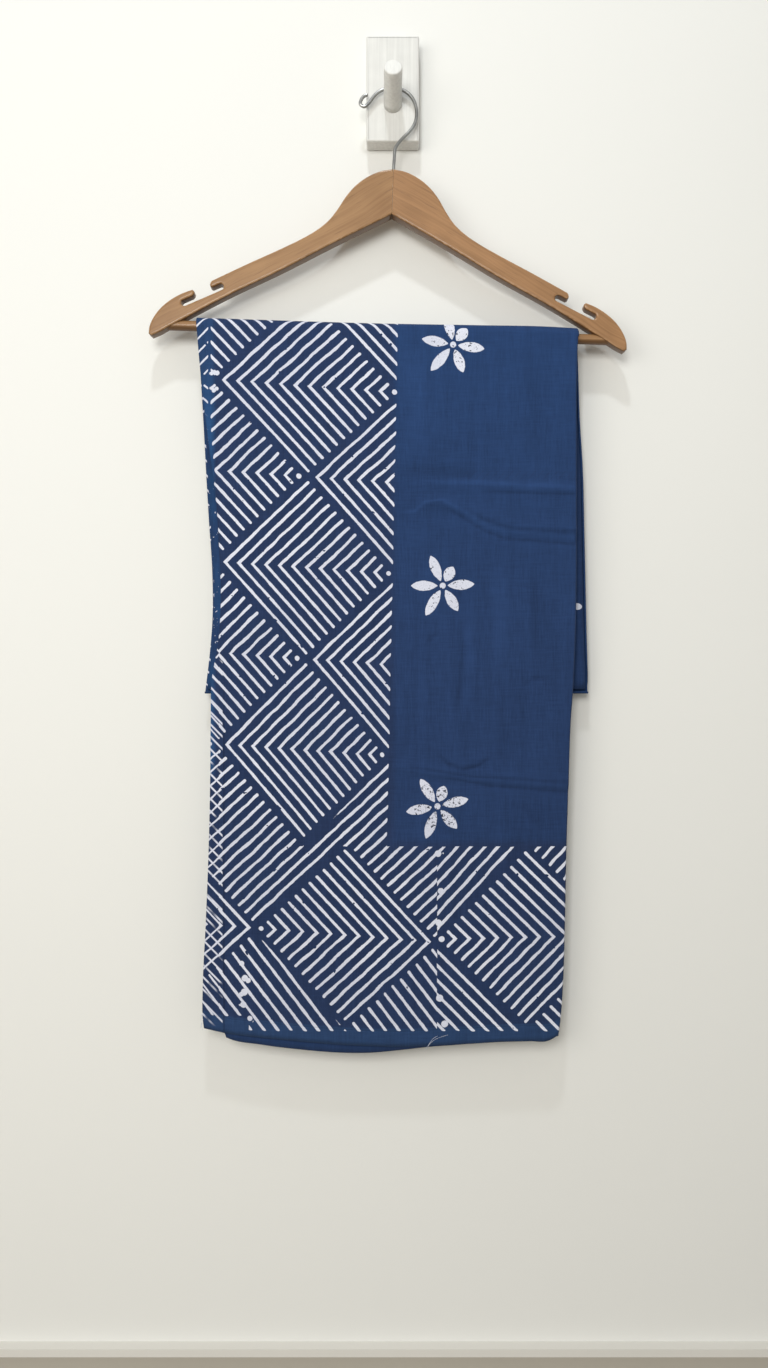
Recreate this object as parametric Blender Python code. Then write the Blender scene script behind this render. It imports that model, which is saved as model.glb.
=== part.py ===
# Folded sarong over the bar of a wooden hanger, on a peg and wall plate.
# Row frame: origin at the centre of the plate's back face, +X right, +Z up, the wall is the plane Y = 0
# and the room is on the -Y side. Driving sizes are in millimetres and are scaled to metres at the end.
import math

import bpy
import numpy as np

for old in list(bpy.data.objects):
    bpy.data.objects.remove(old, do_unlink=True)

MM = 0.001
GAP = 0.3

# Wall plate and peg
PLATE_WIDTH = 50.0
PLATE_THICK = 18.0
PLATE_HEIGHT = 100.0
PLATE_ROUND = 1.5
PEG_TILT = math.radians(15.0)
PEG_ROOT_Z = -14.7
PEG_SIDES = 32
# Peg: distance out from its root, radius, which rounds off at the free end
PEG_RINGS = ((0.0, 8.5), (40.6, 8.5), (41.6, 8.1), (42.0, 7.2))

# Hanger: everything below is laid out upright, then rolled about the point where the hook rests
ROLL = math.radians(1.93)
ROLL_AT = (0.0, -4.0)
HANGER_Y = -23.0
SEAM_X = 3.2
ARM_ROUND = 1.6
WIRE_RADIUS = 1.6
WIRE_SIDES = 12
WIRE_START_SHARE = 0.8
STEM_HOLE_RADIUS = 1.95
STEM_HOLE_TOP = -70.0
STEM_HOLE_LOW = -97.6
STEM_HOLE_SIDES = 16
BAR_RADIUS = 4.7
BAR_HALF_LENGTH = 212.5
BAR_CHAMFER = 0.6
BAR_SIDES = 28
BAR_Z = -233.1
BAR_HOLE_RADIUS = 5.0
BAR_HOLE_END = 213.0

# Cloth: wall, room round the bar, and how far each fall leans on its way down
CLOTH_WALL = 1.0
BAR_CLEAR = 0.4
FRONT_DRIFT = 0.8
BACK_DRIFT = -1.5
# Shares of a fall over which the folded bundle loosens, and the depth over which creases die out
LOOSE_SHARE = 0.35
CREASE_DEPTH = 2.0
# Rolled right edge and back bottom: angles of their columns, how far each stands out, and how much
# the right edge opens at the back corner
FOLD_TURNS = np.radians([30.0, 60.0, 90.0, 120.0, 142.0])
EDGE_BULGE = 2.2
BOTTOM_BULGE = 2.6
CORNER_OPENING = 0.7
CORNER_LEAD = 0.2
# Hidden layers: width and lengths of the falls, right end, room behind creases, how strongly they
# follow ridges and troughs, and the thin hem that reaches below the outer one
LAYER_WIDTH = 345.0
FRONT_LENGTH = 660.0
BACK_LENGTH = 340.0
LAYER_BAR_SHORT = 1.5
LAYER_RIGHT_INSET = 0.6
LAYER_RIGHT_ROUND = 0.35
LAYER_RECESS = 0.8
LAYER_RIDGE = 0.4
LAYER_TROUGH = 2.2
LAYER_BOTTOM_UP = 1.2
HEM_THIN = 0.74
HEM_REACH = 13.0

# Thickness of an arm: out from the seam, thickness
ARM_THICK = ((0.0, 13.0), (60.0, 12.8), (130.0, 11.8), (225.0, 11.6))
# Upper edge of an arm: out from the seam, height
ARM_TOP = (
    (0.0, -81.5),
    (12.0, -83.8),
    (24.0, -89.4),
    (34.5, -97.5),
    (43.0, -107.5),
    (51.0, -120.5),
    (59.0, -131.3),
    (70.5, -141.2),
    (83.0, -149.0),
    (101.5, -158.7),
    (132.5, -173.9),
    (153.5, -184.6),
    (167.0, -191.6),
)
# Outer end of an arm, from the tip of the outer prong round to the lower corner
ARM_END = (
    (184.6, -200.4),
    (193.0, -203.6),
    (202.5, -208.9),
    (212.0, -216.5),
    (219.8, -226.5),
    (224.0, -237.0),
    (224.4, -242.6),
)
# Lower edge of an arm, from the outer end back to the seam
ARM_LOWER = (
    (221.6, -244.8),
    (214.0, -241.2),
    (207.0, -236.9),
    (148.0, -203.4),
    (103.0, -180.2),
    (55.0, -153.5),
    (0.0, -124.0),
)
# Strap notches: the shared floor of both, their height across, then the tip of each prong
NOTCH_FLOOR = ((154.5, -198.4), (193.2, -216.8))
NOTCH_HEIGHT = 5.6
PRONG_NEAR = 168.5
PRONG_FAR = 182.6
# Rounding of a prong: how far its roof stops behind the tip, drop of the tip, and points round it
NEAR_ROOF_BACK = 2.5
NEAR_TIP_DROP = 0.6
NEAR_TIP_POINTS = ((-0.45, 1.9), (0.0, 0.0), (-0.6, -1.7))
FAR_ROOF_BACK = 1.8
FAR_TIP_DROP = -0.4
FAR_TIP_POINTS = ((0.45, -1.5), (0.0, 0.0), (0.5, 1.5))

# Hook wire centre line, upright: across, height
HOOK_LINE = (
    (3.2, -97.0),
    (3.2, -84.0),
    (3.6, -70.0),
    (4.8, -58.0),
    (9.7, -51.0),
    (16.0, -44.3),
    (21.3, -36.6),
    (23.3, -26.6),
    (21.6, -17.2),
    (16.6, -8.9),
    (9.0, -4.1),
    (0.0, -2.55),
    (-9.2, -4.4),
    (-15.0, -8.2),
    (-19.0, -13.0),
    (-22.3, -17.8),
    (-26.6, -21.0),
    (-30.0, -18.9),
    (-29.0, -13.9),
    (-26.0, -10.6),
    (-23.4, -9.9),
)

# Front fall: height, left edge, right edge
FRONT_SIDES = (
    (-225.0, -184.0, 172.0),
    (-255.0, -181.5, 170.3),
    (-300.0, -177.0, 169.4),
    (-340.0, -172.0, 169.4),
    (-390.0, -165.5, 169.4),
    (-440.0, -162.0, 169.4),
    (-490.0, -160.6, 169.0),
    (-525.0, -163.0, 168.2),
    (-560.0, -169.0, 166.8),
    (-600.0, -170.0, 164.0),
    (-650.0, -170.4, 162.2),
    (-720.0, -172.0, 160.0),
    (-790.0, -174.8, 158.6),
    (-850.0, -177.6, 156.6),
    (-875.0, -177.6, 154.8),
    (-900.0, -174.0, 151.4),
)
# Back fall: height, left edge, right edge
BACK_SIDES = (
    (-225.0, -184.0, 172.0),
    (-260.0, -183.0, 173.6),
    (-310.0, -180.2, 175.2),
    (-360.0, -177.6, 178.2),
    (-410.0, -174.6, 179.4),
    (-455.0, -171.6, 180.4),
    (-505.0, -171.4, 181.4),
    (-535.0, -173.8, 182.2),
    (-571.0, -178.0, 183.2),
)
# Lower edges of the front fall: share across, height of the outer hem, height of the hem behind it
HEMS = (
    (0.0, -885.4, -882.0),
    (0.06, -890.0, -895.0),
    (0.155, -893.8, -901.2),
    (0.27, -897.5, -905.8),
    (0.38, -900.4, -908.6),
    (0.47, -901.7, -908.7),
    (0.553, -902.2, -906.2),
    (0.64, -901.2, -903.0),
    (0.752, -899.4, -899.9),
    (0.84, -897.5, -894.5),
    (0.923, -896.8, -893.8),
    (0.985, -895.6, -892.5),
    (1.0, -892.5, -889.0),
)
BACK_BOTTOM = -570.5
# Bundle thickness: share across, on the bar, lower down
THICKNESS = (
    (0.0, 2.6, 4.6),
    (0.5, 3.0, 5.4),
    (0.75, 4.4, 6.0),
    (0.92, 5.2, 6.2),
    (1.0, 4.6, 5.6),
)
# How far the hidden layers stop short of the left edge: share down the fall, distance
FRONT_SHORT = ((0.0, 1.5), (0.3, 2.5), (0.6, 4.5), (0.85, 7.0), (0.95, 12.0), (1.0, 20.0))
# Left ends of the hidden layers: share of the depth, distance in from the first one
LAYER_STEPS = (
    (1.0, 0.0),
    (0.8, 0.0),
    (0.8, 4.0),
    (0.6, 4.0),
    (0.6, 1.2),
    (0.4, 1.2),
    (0.4, 5.0),
    (0.2, 5.0),
    (0.2, 2.0),
    (0.0, 2.0),
)

# Creases of the front fall: line of points, height of the ridge, half width
CREASES = (
    (((6.0, -375.0), (90.0, -380.0), (172.0, -383.0)), 1.0, 6.0),
    (((4.0, -404.0), (41.0, -393.0), (77.0, -405.0), (114.0, -418.0), (172.0, -420.0)), 1.3, 6.0),
    (((20.0, -411.0), (60.0, -406.0), (108.0, -427.0), (172.0, -430.0)), -0.8, 6.0),
    (((-4.0, -641.0), (19.0, -642.0), (77.0, -650.0), (163.0, -656.0)), 1.1, 5.0),
    (((10.0, -650.0), (77.0, -658.0), (163.0, -664.0)), -0.7, 6.0),
    (((34.0, -620.0), (59.0, -642.0), (96.0, -630.0)), 0.9, 5.0),
    (((58.0, -485.0), (64.0, -560.0), (60.0, -636.0)), 0.9, 12.0),
)
# Share of a crease over which each end fades, and how far right a line must end to run off the edge
CREASE_FADE = 0.25
CREASE_OFF_EDGE = 150.0


def curve(table, column, at):
    """Smooth curve through a table: cubic pieces whose slopes are those of the neighbouring points."""
    rows = sorted(table)
    x = np.array([row[0] for row in rows])
    y = np.array([row[column] for row in rows])
    slope = np.gradient(y, x)
    at = np.clip(np.asarray(at, float), x[0], x[-1])
    i = np.clip(np.searchsorted(x, at) - 1, 0, len(x) - 2)
    width = x[i + 1] - x[i]
    t = (at - x[i]) / width
    rise = t * t * (3 - 2 * t)
    bends = width * (slope[i] * t * (1 - t) ** 2 - slope[i + 1] * t * t * (1 - t))
    return y[i] + (y[i + 1] - y[i]) * rise + bends


def through(points, per):
    """Points of a smooth line through the given ones, per of them to each stretch, by running length."""
    points = np.array(points, float)
    run = np.concatenate([[0.0], np.cumsum(np.linalg.norm(np.diff(points, axis=0), axis=1))])
    stretches = [np.linspace(a, b, per, endpoint=False) for a, b in zip(run, run[1:])]
    at = np.concatenate(stretches + [run[-1:]])
    tables = [tuple(zip(run, points[:, axis])) for axis in range(points.shape[1])]
    return np.stack([curve(table, 1, at) for table in tables], axis=-1)


def smoothstep(t):
    t = np.clip(t, 0.0, 1.0)
    return t * t * (3 - 2 * t)


def rolled(points):
    """Upright hanger points turned about Y where the hook rests, so that the right end hangs lower."""
    points = np.array(points, float)
    across = points[:, 0] - ROLL_AT[0]
    up = points[:, 2] - ROLL_AT[1]
    c = math.cos(ROLL)
    s = math.sin(ROLL)
    points[:, 0] = ROLL_AT[0] + c * across + s * up
    points[:, 2] = ROLL_AT[1] - s * across + c * up
    return points


def material(name, colour, roughness, metallic):
    made = bpy.data.materials.new(name)
    made.use_nodes = True
    shader = made.node_tree.nodes["Principled BSDF"]
    shader.inputs["Base Color"].default_value = (*colour, 1.0)
    shader.inputs["Roughness"].default_value = roughness
    shader.inputs["Metallic"].default_value = metallic
    return made


def solid(name, points, faces, look):
    """One closed object from points in millimetres, its faces turned outwards by the sign of the volume."""
    points = np.array(points, float)
    volume = 0.0
    for face in faces:
        for a, b in zip(face[1:], face[2:]):
            volume += np.dot(points[face[0]], np.cross(points[a], points[b]))
    if volume < 0:
        faces = [face[::-1] for face in faces]
    mesh = bpy.data.meshes.new(name)
    mesh.from_pydata((points * MM).tolist(), [], [list(map(int, face)) for face in faces])
    mesh.validate()
    made = bpy.data.objects.new(name, mesh)
    bpy.context.scene.collection.objects.link(made)
    mesh.materials.append(look)
    return made


def grid_faces(rows, columns, start=0, around=False):
    """Quads between neighbouring rows of points, closed round each row if asked."""
    faces = []
    for i in range(rows - 1):
        for j in range(columns if around else columns - 1):
            k = (j + 1) % columns
            first = start + i * columns
            faces.append((first + j, first + k, first + columns + k, first + columns + j))
    return faces


def ring_solid(name, rings, look):
    """Rings of points joined one to the next, with the first and the last one filled."""
    count = len(rings[0])
    points = np.concatenate(rings)
    faces = grid_faces(len(rings), count, around=True)
    last = (len(rings) - 1) * count
    faces.append(tuple(range(count))[::-1])
    faces.append(tuple(last + i for i in range(count)))
    return solid(name, points, faces, look)


def shell_solid(name, outer, wall, look):
    """A sheet with a wall: a grid of outer points, the same grid moved in along its normals, and rims."""
    along = np.gradient(outer, axis=0)
    across = np.gradient(outer, axis=1)
    normal = np.cross(along, across)
    normal /= np.linalg.norm(normal, axis=2, keepdims=True)
    rows, columns = outer.shape[:2]
    middle = outer[rows // 4, columns // 2]
    away_from_bar = middle - np.array([0.0, HANGER_Y, middle[2]])
    if normal[rows // 4, columns // 2] @ away_from_bar < 0:
        normal = -normal
    inner = outer - normal * wall
    count = rows * columns
    faces = grid_faces(rows, columns)
    faces += [tuple(count + i for i in face)[::-1] for face in faces]
    index = np.arange(count).reshape(rows, columns)
    rim = list(index[0]) + list(index[1:, -1]) + list(index[-1, -2::-1]) + list(index[-2:0:-1, 0])
    for a, b in zip(rim, rim[1:] + rim[:1]):
        faces.append((b, a, count + a, count + b))
    return solid(name, np.concatenate([outer.reshape(-1, 3), inner.reshape(-1, 3)]), faces, look)


def crease(x, z):
    """Depth added to the front fall: each crease is a ridge or trough that fades across and at its ends."""
    total = np.zeros(np.broadcast(x, z).shape)
    for line, height, half in CREASES:
        nearest = np.full(total.shape, 1e9)
        place = np.zeros(total.shape)
        for i, (a, b) in enumerate(zip(line, line[1:])):
            ax, az = a
            dx, dz = b[0] - ax, b[1] - az
            t = np.clip(((x - ax) * dx + (z - az) * dz) / (dx * dx + dz * dz), 0, 1)
            away = np.hypot(x - ax - t * dx, z - az - t * dz)
            place = np.where(away < nearest, (i + t) / (len(line) - 1), place)
            nearest = np.minimum(nearest, away)
        ends = smoothstep(place / CREASE_FADE)
        if line[-1][0] < CREASE_OFF_EDGE:
            ends = ends * smoothstep((1 - place) / CREASE_FADE)
        total += height * ends * np.exp(-((nearest / half) ** 2))
    return total


def bar_height(x):
    """Height of the bar's centre line at a place across the rolled hanger."""
    middle = rolled([(SEAM_X, 0.0, BAR_Z)])[0]
    return middle[2] - math.tan(ROLL) * (x - middle[0])


def bundle(share, down):
    """Thickness of the folded cloth, thin where the bar presses it and looser below."""
    loose = smoothstep(down / LOOSE_SHARE)
    return curve(THICKNESS, 1, share) * (1 - loose) + curve(THICKNESS, 2, share) * loose


def top_across(sides, share):
    """Place across at the top of a fall, from the first row of its table of sides."""
    left, right = sides[0][1:]
    return left * (1 - share) + right * share


def front_point(share, down, depth, low, ridge=1.0, trough=1.0):
    """Front fall: share across, share down, depth out from its bar side, heights of its lower edge."""
    top = bar_height(top_across(FRONT_SIDES, share))
    z = top + down * (low - top)
    left = curve(FRONT_SIDES, 1, z)
    right = curve(FRONT_SIDES, 2, z)
    x = left + share * (right - left)
    folds = crease(x, z)
    folds = np.where(folds > 0, ridge, trough) * folds * smoothstep(depth / CREASE_DEPTH)
    y = HANGER_Y - BAR_RADIUS - BAR_CLEAR - depth + FRONT_DRIFT * down - folds
    return np.stack(np.broadcast_arrays(x, y, z), axis=-1)


def over_point(share, turn, depth):
    """Half turn over the bar: share across, angle from the front, depth out from the bar."""
    x = top_across(FRONT_SIDES, share)
    radius = BAR_RADIUS + BAR_CLEAR + depth
    y = HANGER_Y - radius * np.cos(turn)
    z = bar_height(x) + radius * np.sin(turn)
    return np.stack(np.broadcast_arrays(x, y, z), axis=-1)


def back_point(share, down, depth):
    """Back fall: share across, share down, depth out from its bar side."""
    top = bar_height(top_across(BACK_SIDES, share))
    z = top + down * (BACK_BOTTOM - top)
    left = curve(BACK_SIDES, 1, z)
    right = curve(BACK_SIDES, 2, z)
    x = left + share * (right - left)
    y = HANGER_Y + BAR_RADIUS + BAR_CLEAR + depth + BACK_DRIFT * down
    return np.stack(np.broadcast_arrays(x, y, z), axis=-1)


# Rows down the front fall, closer together at its creases
FRONT_DOWN = np.concatenate(
    [
        np.linspace(0.0, 0.18, 6),
        np.linspace(0.205, 0.32, 15),
        np.linspace(0.35, 0.59, 8),
        np.linspace(0.605, 0.67, 9),
        np.linspace(0.70, 1.0, 11),
    ]
)
TURNS = np.linspace(0.0, math.pi, 11)[1:-1]
BACK_DOWN = np.linspace(0.0, 1.0, 16)


def outer_layer(look):
    """The layer that shows: front fall, over the bar, back fall, its right edge and back bottom folded in."""
    share = np.linspace(0.0, 1.0, 23)[None, :]
    hem = curve(HEMS, 1, share)
    upward = FRONT_DOWN[::-1][:, None]
    front = front_point(share, upward, bundle(share, upward), hem)
    over = over_point(share, TURNS[:, None], bundle(share, 0.0))
    back = back_point(share, BACK_DOWN[:, None], bundle(share, BACK_DOWN[:, None]))
    face = np.concatenate([front, over, back])
    # The way in, towards the bar side, at each point of the face
    round_bar_in = np.stack([np.zeros_like(TURNS), np.cos(TURNS), -np.sin(TURNS)], axis=-1)
    front_in = np.tile([0.0, 1.0, 0.0], (len(front), 1))
    back_in = np.tile([0.0, -1.0, 0.0], (len(back), 1))
    inward = np.concatenate([front_in, round_bar_in, back_in])[:, None, :]
    down = np.concatenate([FRONT_DOWN[::-1], np.zeros(len(TURNS)), BACK_DOWN])
    # Right edge: each further column goes round a half ellipse as deep as the bundle, which opens at
    # the back corner
    straight = np.zeros(len(FRONT_DOWN) + len(TURNS))
    open_corner = np.concatenate([straight, smoothstep((BACK_DOWN - 0.9) / 0.1)])
    round_edge = FOLD_TURNS[None, :] * (1 - CORNER_OPENING * open_corner[:, None])
    depth = bundle(1.0, down)[:, None, None]
    turn_in = face[:, -1:, :] + inward * depth * (1 - np.cos(round_edge))[:, :, None] / 2
    turn_in = turn_in + np.array([1.0, 0.0, 0.0]) * EDGE_BULGE * np.sin(round_edge)[:, :, None]
    face = np.concatenate([face, turn_in], axis=1)
    # Bottom of the back fall: the same turn, towards the bar side
    thick = bundle(np.concatenate([share[0], np.ones(len(FOLD_TURNS))]), 1.0)
    start = np.concatenate([np.zeros(share.size), round_edge[-1]])
    rows = []
    for turn in FOLD_TURNS:
        row = face[len(open_corner) - 1].copy()
        deeper = np.maximum(start, turn + start * CORNER_LEAD)
        row[:, 1] += thick * (np.cos(deeper) - np.cos(start)) / 2
        row[:, 2] -= BOTTOM_BULGE * math.sin(turn)
        rows.append(row)
    face = np.concatenate([face, np.array(rows)])
    return shell_solid("cloth_outer", face, CLOTH_WALL, look)


def hidden_layers(look):
    """The layers inside the fold as one solid, with stepped left ends and a hem below the outer hem."""
    across = np.linspace(0.0, 1.0, 13)[1:-1]
    steps = np.array(LAYER_STEPS)
    flat = np.zeros(len(across))
    # Profile: outer face left to right, right end, bar side right to left, left end in steps
    place = np.concatenate([across, [1.0, 1.0, 1.0], across[::-1], np.zeros(len(steps))])
    part = np.concatenate([flat + 1, [0.85, 0.5, 0.15], flat, steps[::-1, 0]])
    right_end = [-LAYER_RIGHT_ROUND, 0.0, -LAYER_RIGHT_ROUND]
    step_in = np.concatenate([flat, right_end, flat, steps[::-1, 1]])
    top_left, top_right = FRONT_SIDES[0][1:]

    def spread(width, short):
        """Share across of each profile point, for a layer of this width that starts short of the left."""
        start = (short + step_in * (place == 0)) / width
        share = start + place * (1 - LAYER_RIGHT_INSET / width - start)
        share = np.where(place == 0, start, share)
        return np.where(place == 1.0, 1 - (LAYER_RIGHT_INSET - step_in) / width, share)

    def front_ring(down, thin=0.0):
        share = spread(LAYER_WIDTH, curve(FRONT_SHORT, 1, down))
        thick = bundle(share, down) - CLOTH_WALL - GAP
        thick -= LAYER_RECESS * smoothstep((down - 0.1) / 0.1)
        depth = thick * (thin + part * (1 - thin))
        return front_point(share, down, depth, curve(HEMS, 2, share), LAYER_RIDGE, LAYER_TROUGH)

    def over_ring(turn):
        share = spread(top_right - top_left, LAYER_BAR_SHORT)
        return over_point(share, turn, (bundle(share, 0.0) - CLOTH_WALL - GAP) * part)

    def back_ring(down):
        share = spread(LAYER_WIDTH, LAYER_BAR_SHORT)
        return back_point(share, down, (bundle(share, down) - CLOTH_WALL - GAP) * part)

    reach = 1.0 - HEM_REACH / FRONT_LENGTH
    rings = [front_ring(1.0, HEM_THIN), front_ring(reach, HEM_THIN), front_ring(reach - 0.001)]
    rings += [front_ring(down) for down in FRONT_DOWN[::-1] if down < reach - 0.01]
    rings += [over_ring(turn) for turn in TURNS]
    rings += [back_ring(down) for down in BACK_DOWN[:-1]]
    rings.append(back_ring(1.0 - LAYER_BOTTOM_UP / BACK_LENGTH))
    return ring_solid("cloth_core", rings, look)


def outline_offset(outline, inset):
    """An outline moved inwards by a set distance along the mean normal of its two neighbouring edges."""
    before = outline - np.roll(outline, 1, axis=0)
    after = np.roll(outline, -1, axis=0) - outline
    before /= np.linalg.norm(before, axis=1, keepdims=True)
    after /= np.linalg.norm(after, axis=1, keepdims=True)
    tangent = before + after
    tangent /= np.linalg.norm(tangent, axis=1, keepdims=True)
    turn = np.clip(np.sum(tangent * after, axis=1, keepdims=True), 0.6, 1.0)
    normal = np.stack([tangent[:, 1], -tangent[:, 0]], axis=1)
    return outline + normal * inset / turn


def half_round(centre, radius, start, sweep, count):
    """Points on an arc, in degrees from +X."""
    angle = np.radians(np.linspace(start, start + sweep, count))
    return np.stack([centre[0] + radius * np.cos(angle), centre[1] + radius * np.sin(angle)], axis=1)


def arm_outline():
    """Outline of one arm, out from the seam, clockwise from the top of the seam."""
    floor_a = np.array(NOTCH_FLOOR[0])
    floor_b = np.array(NOTCH_FLOOR[1])
    along = (floor_b - floor_a) / np.linalg.norm(floor_b - floor_a)
    up = np.array([-along[1], along[0]])
    lean = math.degrees(math.atan2(along[1], along[0]))
    radius = NOTCH_HEIGHT / 2
    near_end = floor_a + up * radius + along * radius
    far_end = floor_b + up * radius - along * radius
    slope = along[1] / along[0]

    def roof(x):
        return floor_a[1] + NOTCH_HEIGHT / math.cos(math.radians(lean)) + slope * (x - floor_a[0])

    top = through(ARM_TOP, 2)
    near_roof = np.array([PRONG_NEAR - NEAR_ROOF_BACK, roof(PRONG_NEAR - NEAR_ROOF_BACK)])
    near_tip = np.array([PRONG_NEAR, (near_roof[1] + top[-1, 1]) / 2 - NEAR_TIP_DROP])
    far_roof = np.array([PRONG_FAR + FAR_ROOF_BACK, roof(PRONG_FAR + FAR_ROOF_BACK)])
    far_tip = np.array([PRONG_FAR, (far_roof[1] + ARM_END[0][1]) / 2 - FAR_TIP_DROP])
    pieces = [
        top,
        near_tip + np.array(NEAR_TIP_POINTS),
        [near_roof],
        half_round(near_end, radius, lean + 90, 180, 7),
        half_round(far_end, radius, lean - 90, 180, 7),
        [far_roof],
        far_tip + np.array(FAR_TIP_POINTS),
        through(ARM_END, 3),
        through(ARM_LOWER[:3], 2),
        ARM_LOWER[3:],
    ]
    outline = np.concatenate([np.array(piece, float).reshape(-1, 2) for piece in pieces])
    outline[:, 0] = np.maximum(outline[:, 0], GAP / 2)
    keep = np.linalg.norm(outline - np.roll(outline, 1, axis=0), axis=1) > 0.05
    return outline[keep]


def arm(name, side, look, cutters):
    """One half of the hanger: rounded edges, a blind hole for the bar, half of the hook's stem hole."""
    outline = arm_outline()
    rings = []
    for turn in (0.0, 45.0, 90.0):
        inset = ARM_ROUND * (1 - math.sin(math.radians(turn)))
        back_off = ARM_ROUND * (1 - math.cos(math.radians(turn)))
        rings.append((inset, back_off, -0.5))
    rings += [(inset, back_off, 0.5) for inset, back_off, _ in rings[::-1]]
    made = []
    for inset, back_off, way in rings:
        flat = outline_offset(outline, inset)
        flat[:, 0] = np.maximum(flat[:, 0], GAP / 2)
        y = HANGER_Y + way * (curve(ARM_THICK, 1, flat[:, 0]) - 2 * back_off)
        made.append(rolled(np.stack([SEAM_X + side * flat[:, 0], y, flat[:, 1]], axis=1)))
    half = ring_solid(name, made, look)
    for kind, cutter in cutters.items():
        cut = half.modifiers.new(kind, "BOOLEAN")
        cut.operation = "DIFFERENCE"
        cut.solver = "EXACT"
        cut.object = cutter
    return half


def round_bar(name, start, end, radius, sides, look, chamfer=0.0):
    """A straight round bar between two upright points, then rolled with the hanger."""
    start = np.array(start, float)
    end = np.array(end, float)
    way = (end - start) / np.linalg.norm(end - start)
    side = np.cross(way, [0.0, 1.0, 0.0])
    side /= np.linalg.norm(side)
    other = np.cross(way, side)
    angle = np.linspace(0, 2 * math.pi, sides, endpoint=False)[:, None]
    circle = side * np.cos(angle) + other * np.sin(angle)
    stops = [(start, radius - chamfer)]
    if chamfer:
        stops += [(start + way * chamfer, radius), (end - way * chamfer, radius)]
    stops.append((end, radius - chamfer))
    return ring_solid(name, [rolled(at + circle * r) for at, r in stops], look)


def tube(name, line, radius, sides, look):
    """A round wire along a line that lies in the hanger's plane."""
    way = np.gradient(line, axis=0)
    way /= np.linalg.norm(way, axis=1, keepdims=True)
    out = np.array([0.0, 1.0, 0.0])
    side = np.cross(way, out)
    angle = np.linspace(0, 2 * math.pi, sides, endpoint=False)
    rings = []
    for at, across in zip(line, side):
        rings.append(at + radius * (np.outer(np.cos(angle), across) + np.outer(np.sin(angle), out)))
    rings[0] = line[0] + (rings[0] - line[0]) * WIRE_START_SHARE
    return ring_solid(name, [rolled(one) for one in rings], look)


white_paint = material("white_paint", (0.80, 0.79, 0.76), 0.45, 0.0)
varnished_wood = material("varnished_wood", (0.32, 0.16, 0.08), 0.35, 0.0)
steel = material("steel", (0.55, 0.55, 0.54), 0.3, 1.0)
printed_cotton = material("printed_cotton", (0.03, 0.06, 0.17), 0.9, 0.0)
folded_cotton = material("folded_cotton", (0.03, 0.065, 0.18), 0.9, 0.0)

# Plate
x = PLATE_WIDTH / 2
z = PLATE_HEIGHT / 2
corners = [(a * x, b, c * z) for b in (0.0, -PLATE_THICK) for a, c in ((-1, -1), (1, -1), (1, 1), (-1, 1))]
box = [(0, 1, 2, 3), (7, 6, 5, 4), (0, 4, 5, 1), (1, 5, 6, 2), (2, 6, 7, 3), (3, 7, 4, 0)]
plate = solid("plate", corners, box, white_paint)
soften = plate.modifiers.new("soften", "BEVEL")
soften.width = PLATE_ROUND * MM
soften.segments = 2
soften.limit_method = "ANGLE"

# Peg: a tilted round dowel, cut square to the plate at its root and domed a little at its free end
angle = np.linspace(0, 2 * math.pi, PEG_SIDES, endpoint=False)
tilt = np.array([0.0, -math.cos(PEG_TILT), math.sin(PEG_TILT)])
upward = np.array([0.0, math.sin(PEG_TILT), math.cos(PEG_TILT)])
root = np.array([0.0, -PLATE_THICK - GAP, PEG_ROOT_Z])
peg_rings = []
for out, radius in PEG_RINGS:
    at = root + tilt * out
    circle = radius * (np.outer(np.cos(angle), [1.0, 0.0, 0.0]) + np.outer(np.sin(angle), upward))
    if out == 0.0:
        circle -= np.outer(circle[:, 1] / tilt[1], tilt)
    peg_rings.append(at + circle)
ring_solid("peg", peg_rings, white_paint)

# Hook
flat_line = through(HOOK_LINE, 4)
hook_line = np.stack([flat_line[:, 0], np.full(len(flat_line), HANGER_Y), flat_line[:, 1]], axis=1)
tube("hook", hook_line, WIRE_RADIUS, WIRE_SIDES, steel)

# Hanger
bar_end = (SEAM_X + BAR_HOLE_END, HANGER_Y, BAR_Z)
bar_start = (SEAM_X - BAR_HOLE_END, HANGER_Y, BAR_Z)
stem_top = (SEAM_X, HANGER_Y, STEM_HOLE_TOP)
stem_low = (SEAM_X, HANGER_Y, STEM_HOLE_LOW)
bar_hole = round_bar("bar_hole", bar_start, bar_end, BAR_HOLE_RADIUS, BAR_SIDES, varnished_wood)
stem_hole = round_bar("stem_hole", stem_top, stem_low, STEM_HOLE_RADIUS, STEM_HOLE_SIDES, varnished_wood)
cutters = {"bar_hole": bar_hole, "stem_hole": stem_hole}
for cutter in cutters.values():
    cutter.hide_render = True
    cutter.display_type = "WIRE"
arm("arm_left", -1.0, varnished_wood, cutters)
arm("arm_right", 1.0, varnished_wood, cutters)
bar_stop = (SEAM_X + BAR_HALF_LENGTH, HANGER_Y, BAR_Z)
bar_begin = (SEAM_X - BAR_HALF_LENGTH, HANGER_Y, BAR_Z)
round_bar("bar", bar_begin, bar_stop, BAR_RADIUS, BAR_SIDES, varnished_wood, BAR_CHAMFER)

# Cloth
outer_layer(printed_cotton)
hidden_layers(folded_cotton)
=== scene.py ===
"""Looks of the folded block-printed sarong that hangs over a wooden hanger on a wall peg.

Row frame, in metres: +X right, +Z up, the wall is the plane Y = 0 and the room is on the -Y side.
Sizes in the tables are in millimetres. The hanger is laid out upright and then rolled about the place where
its hook rests, as in the part.
"""

import math

import bpy
import numpy as np
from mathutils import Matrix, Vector
from mathutils.geometry import tessellate_polygon


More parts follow.
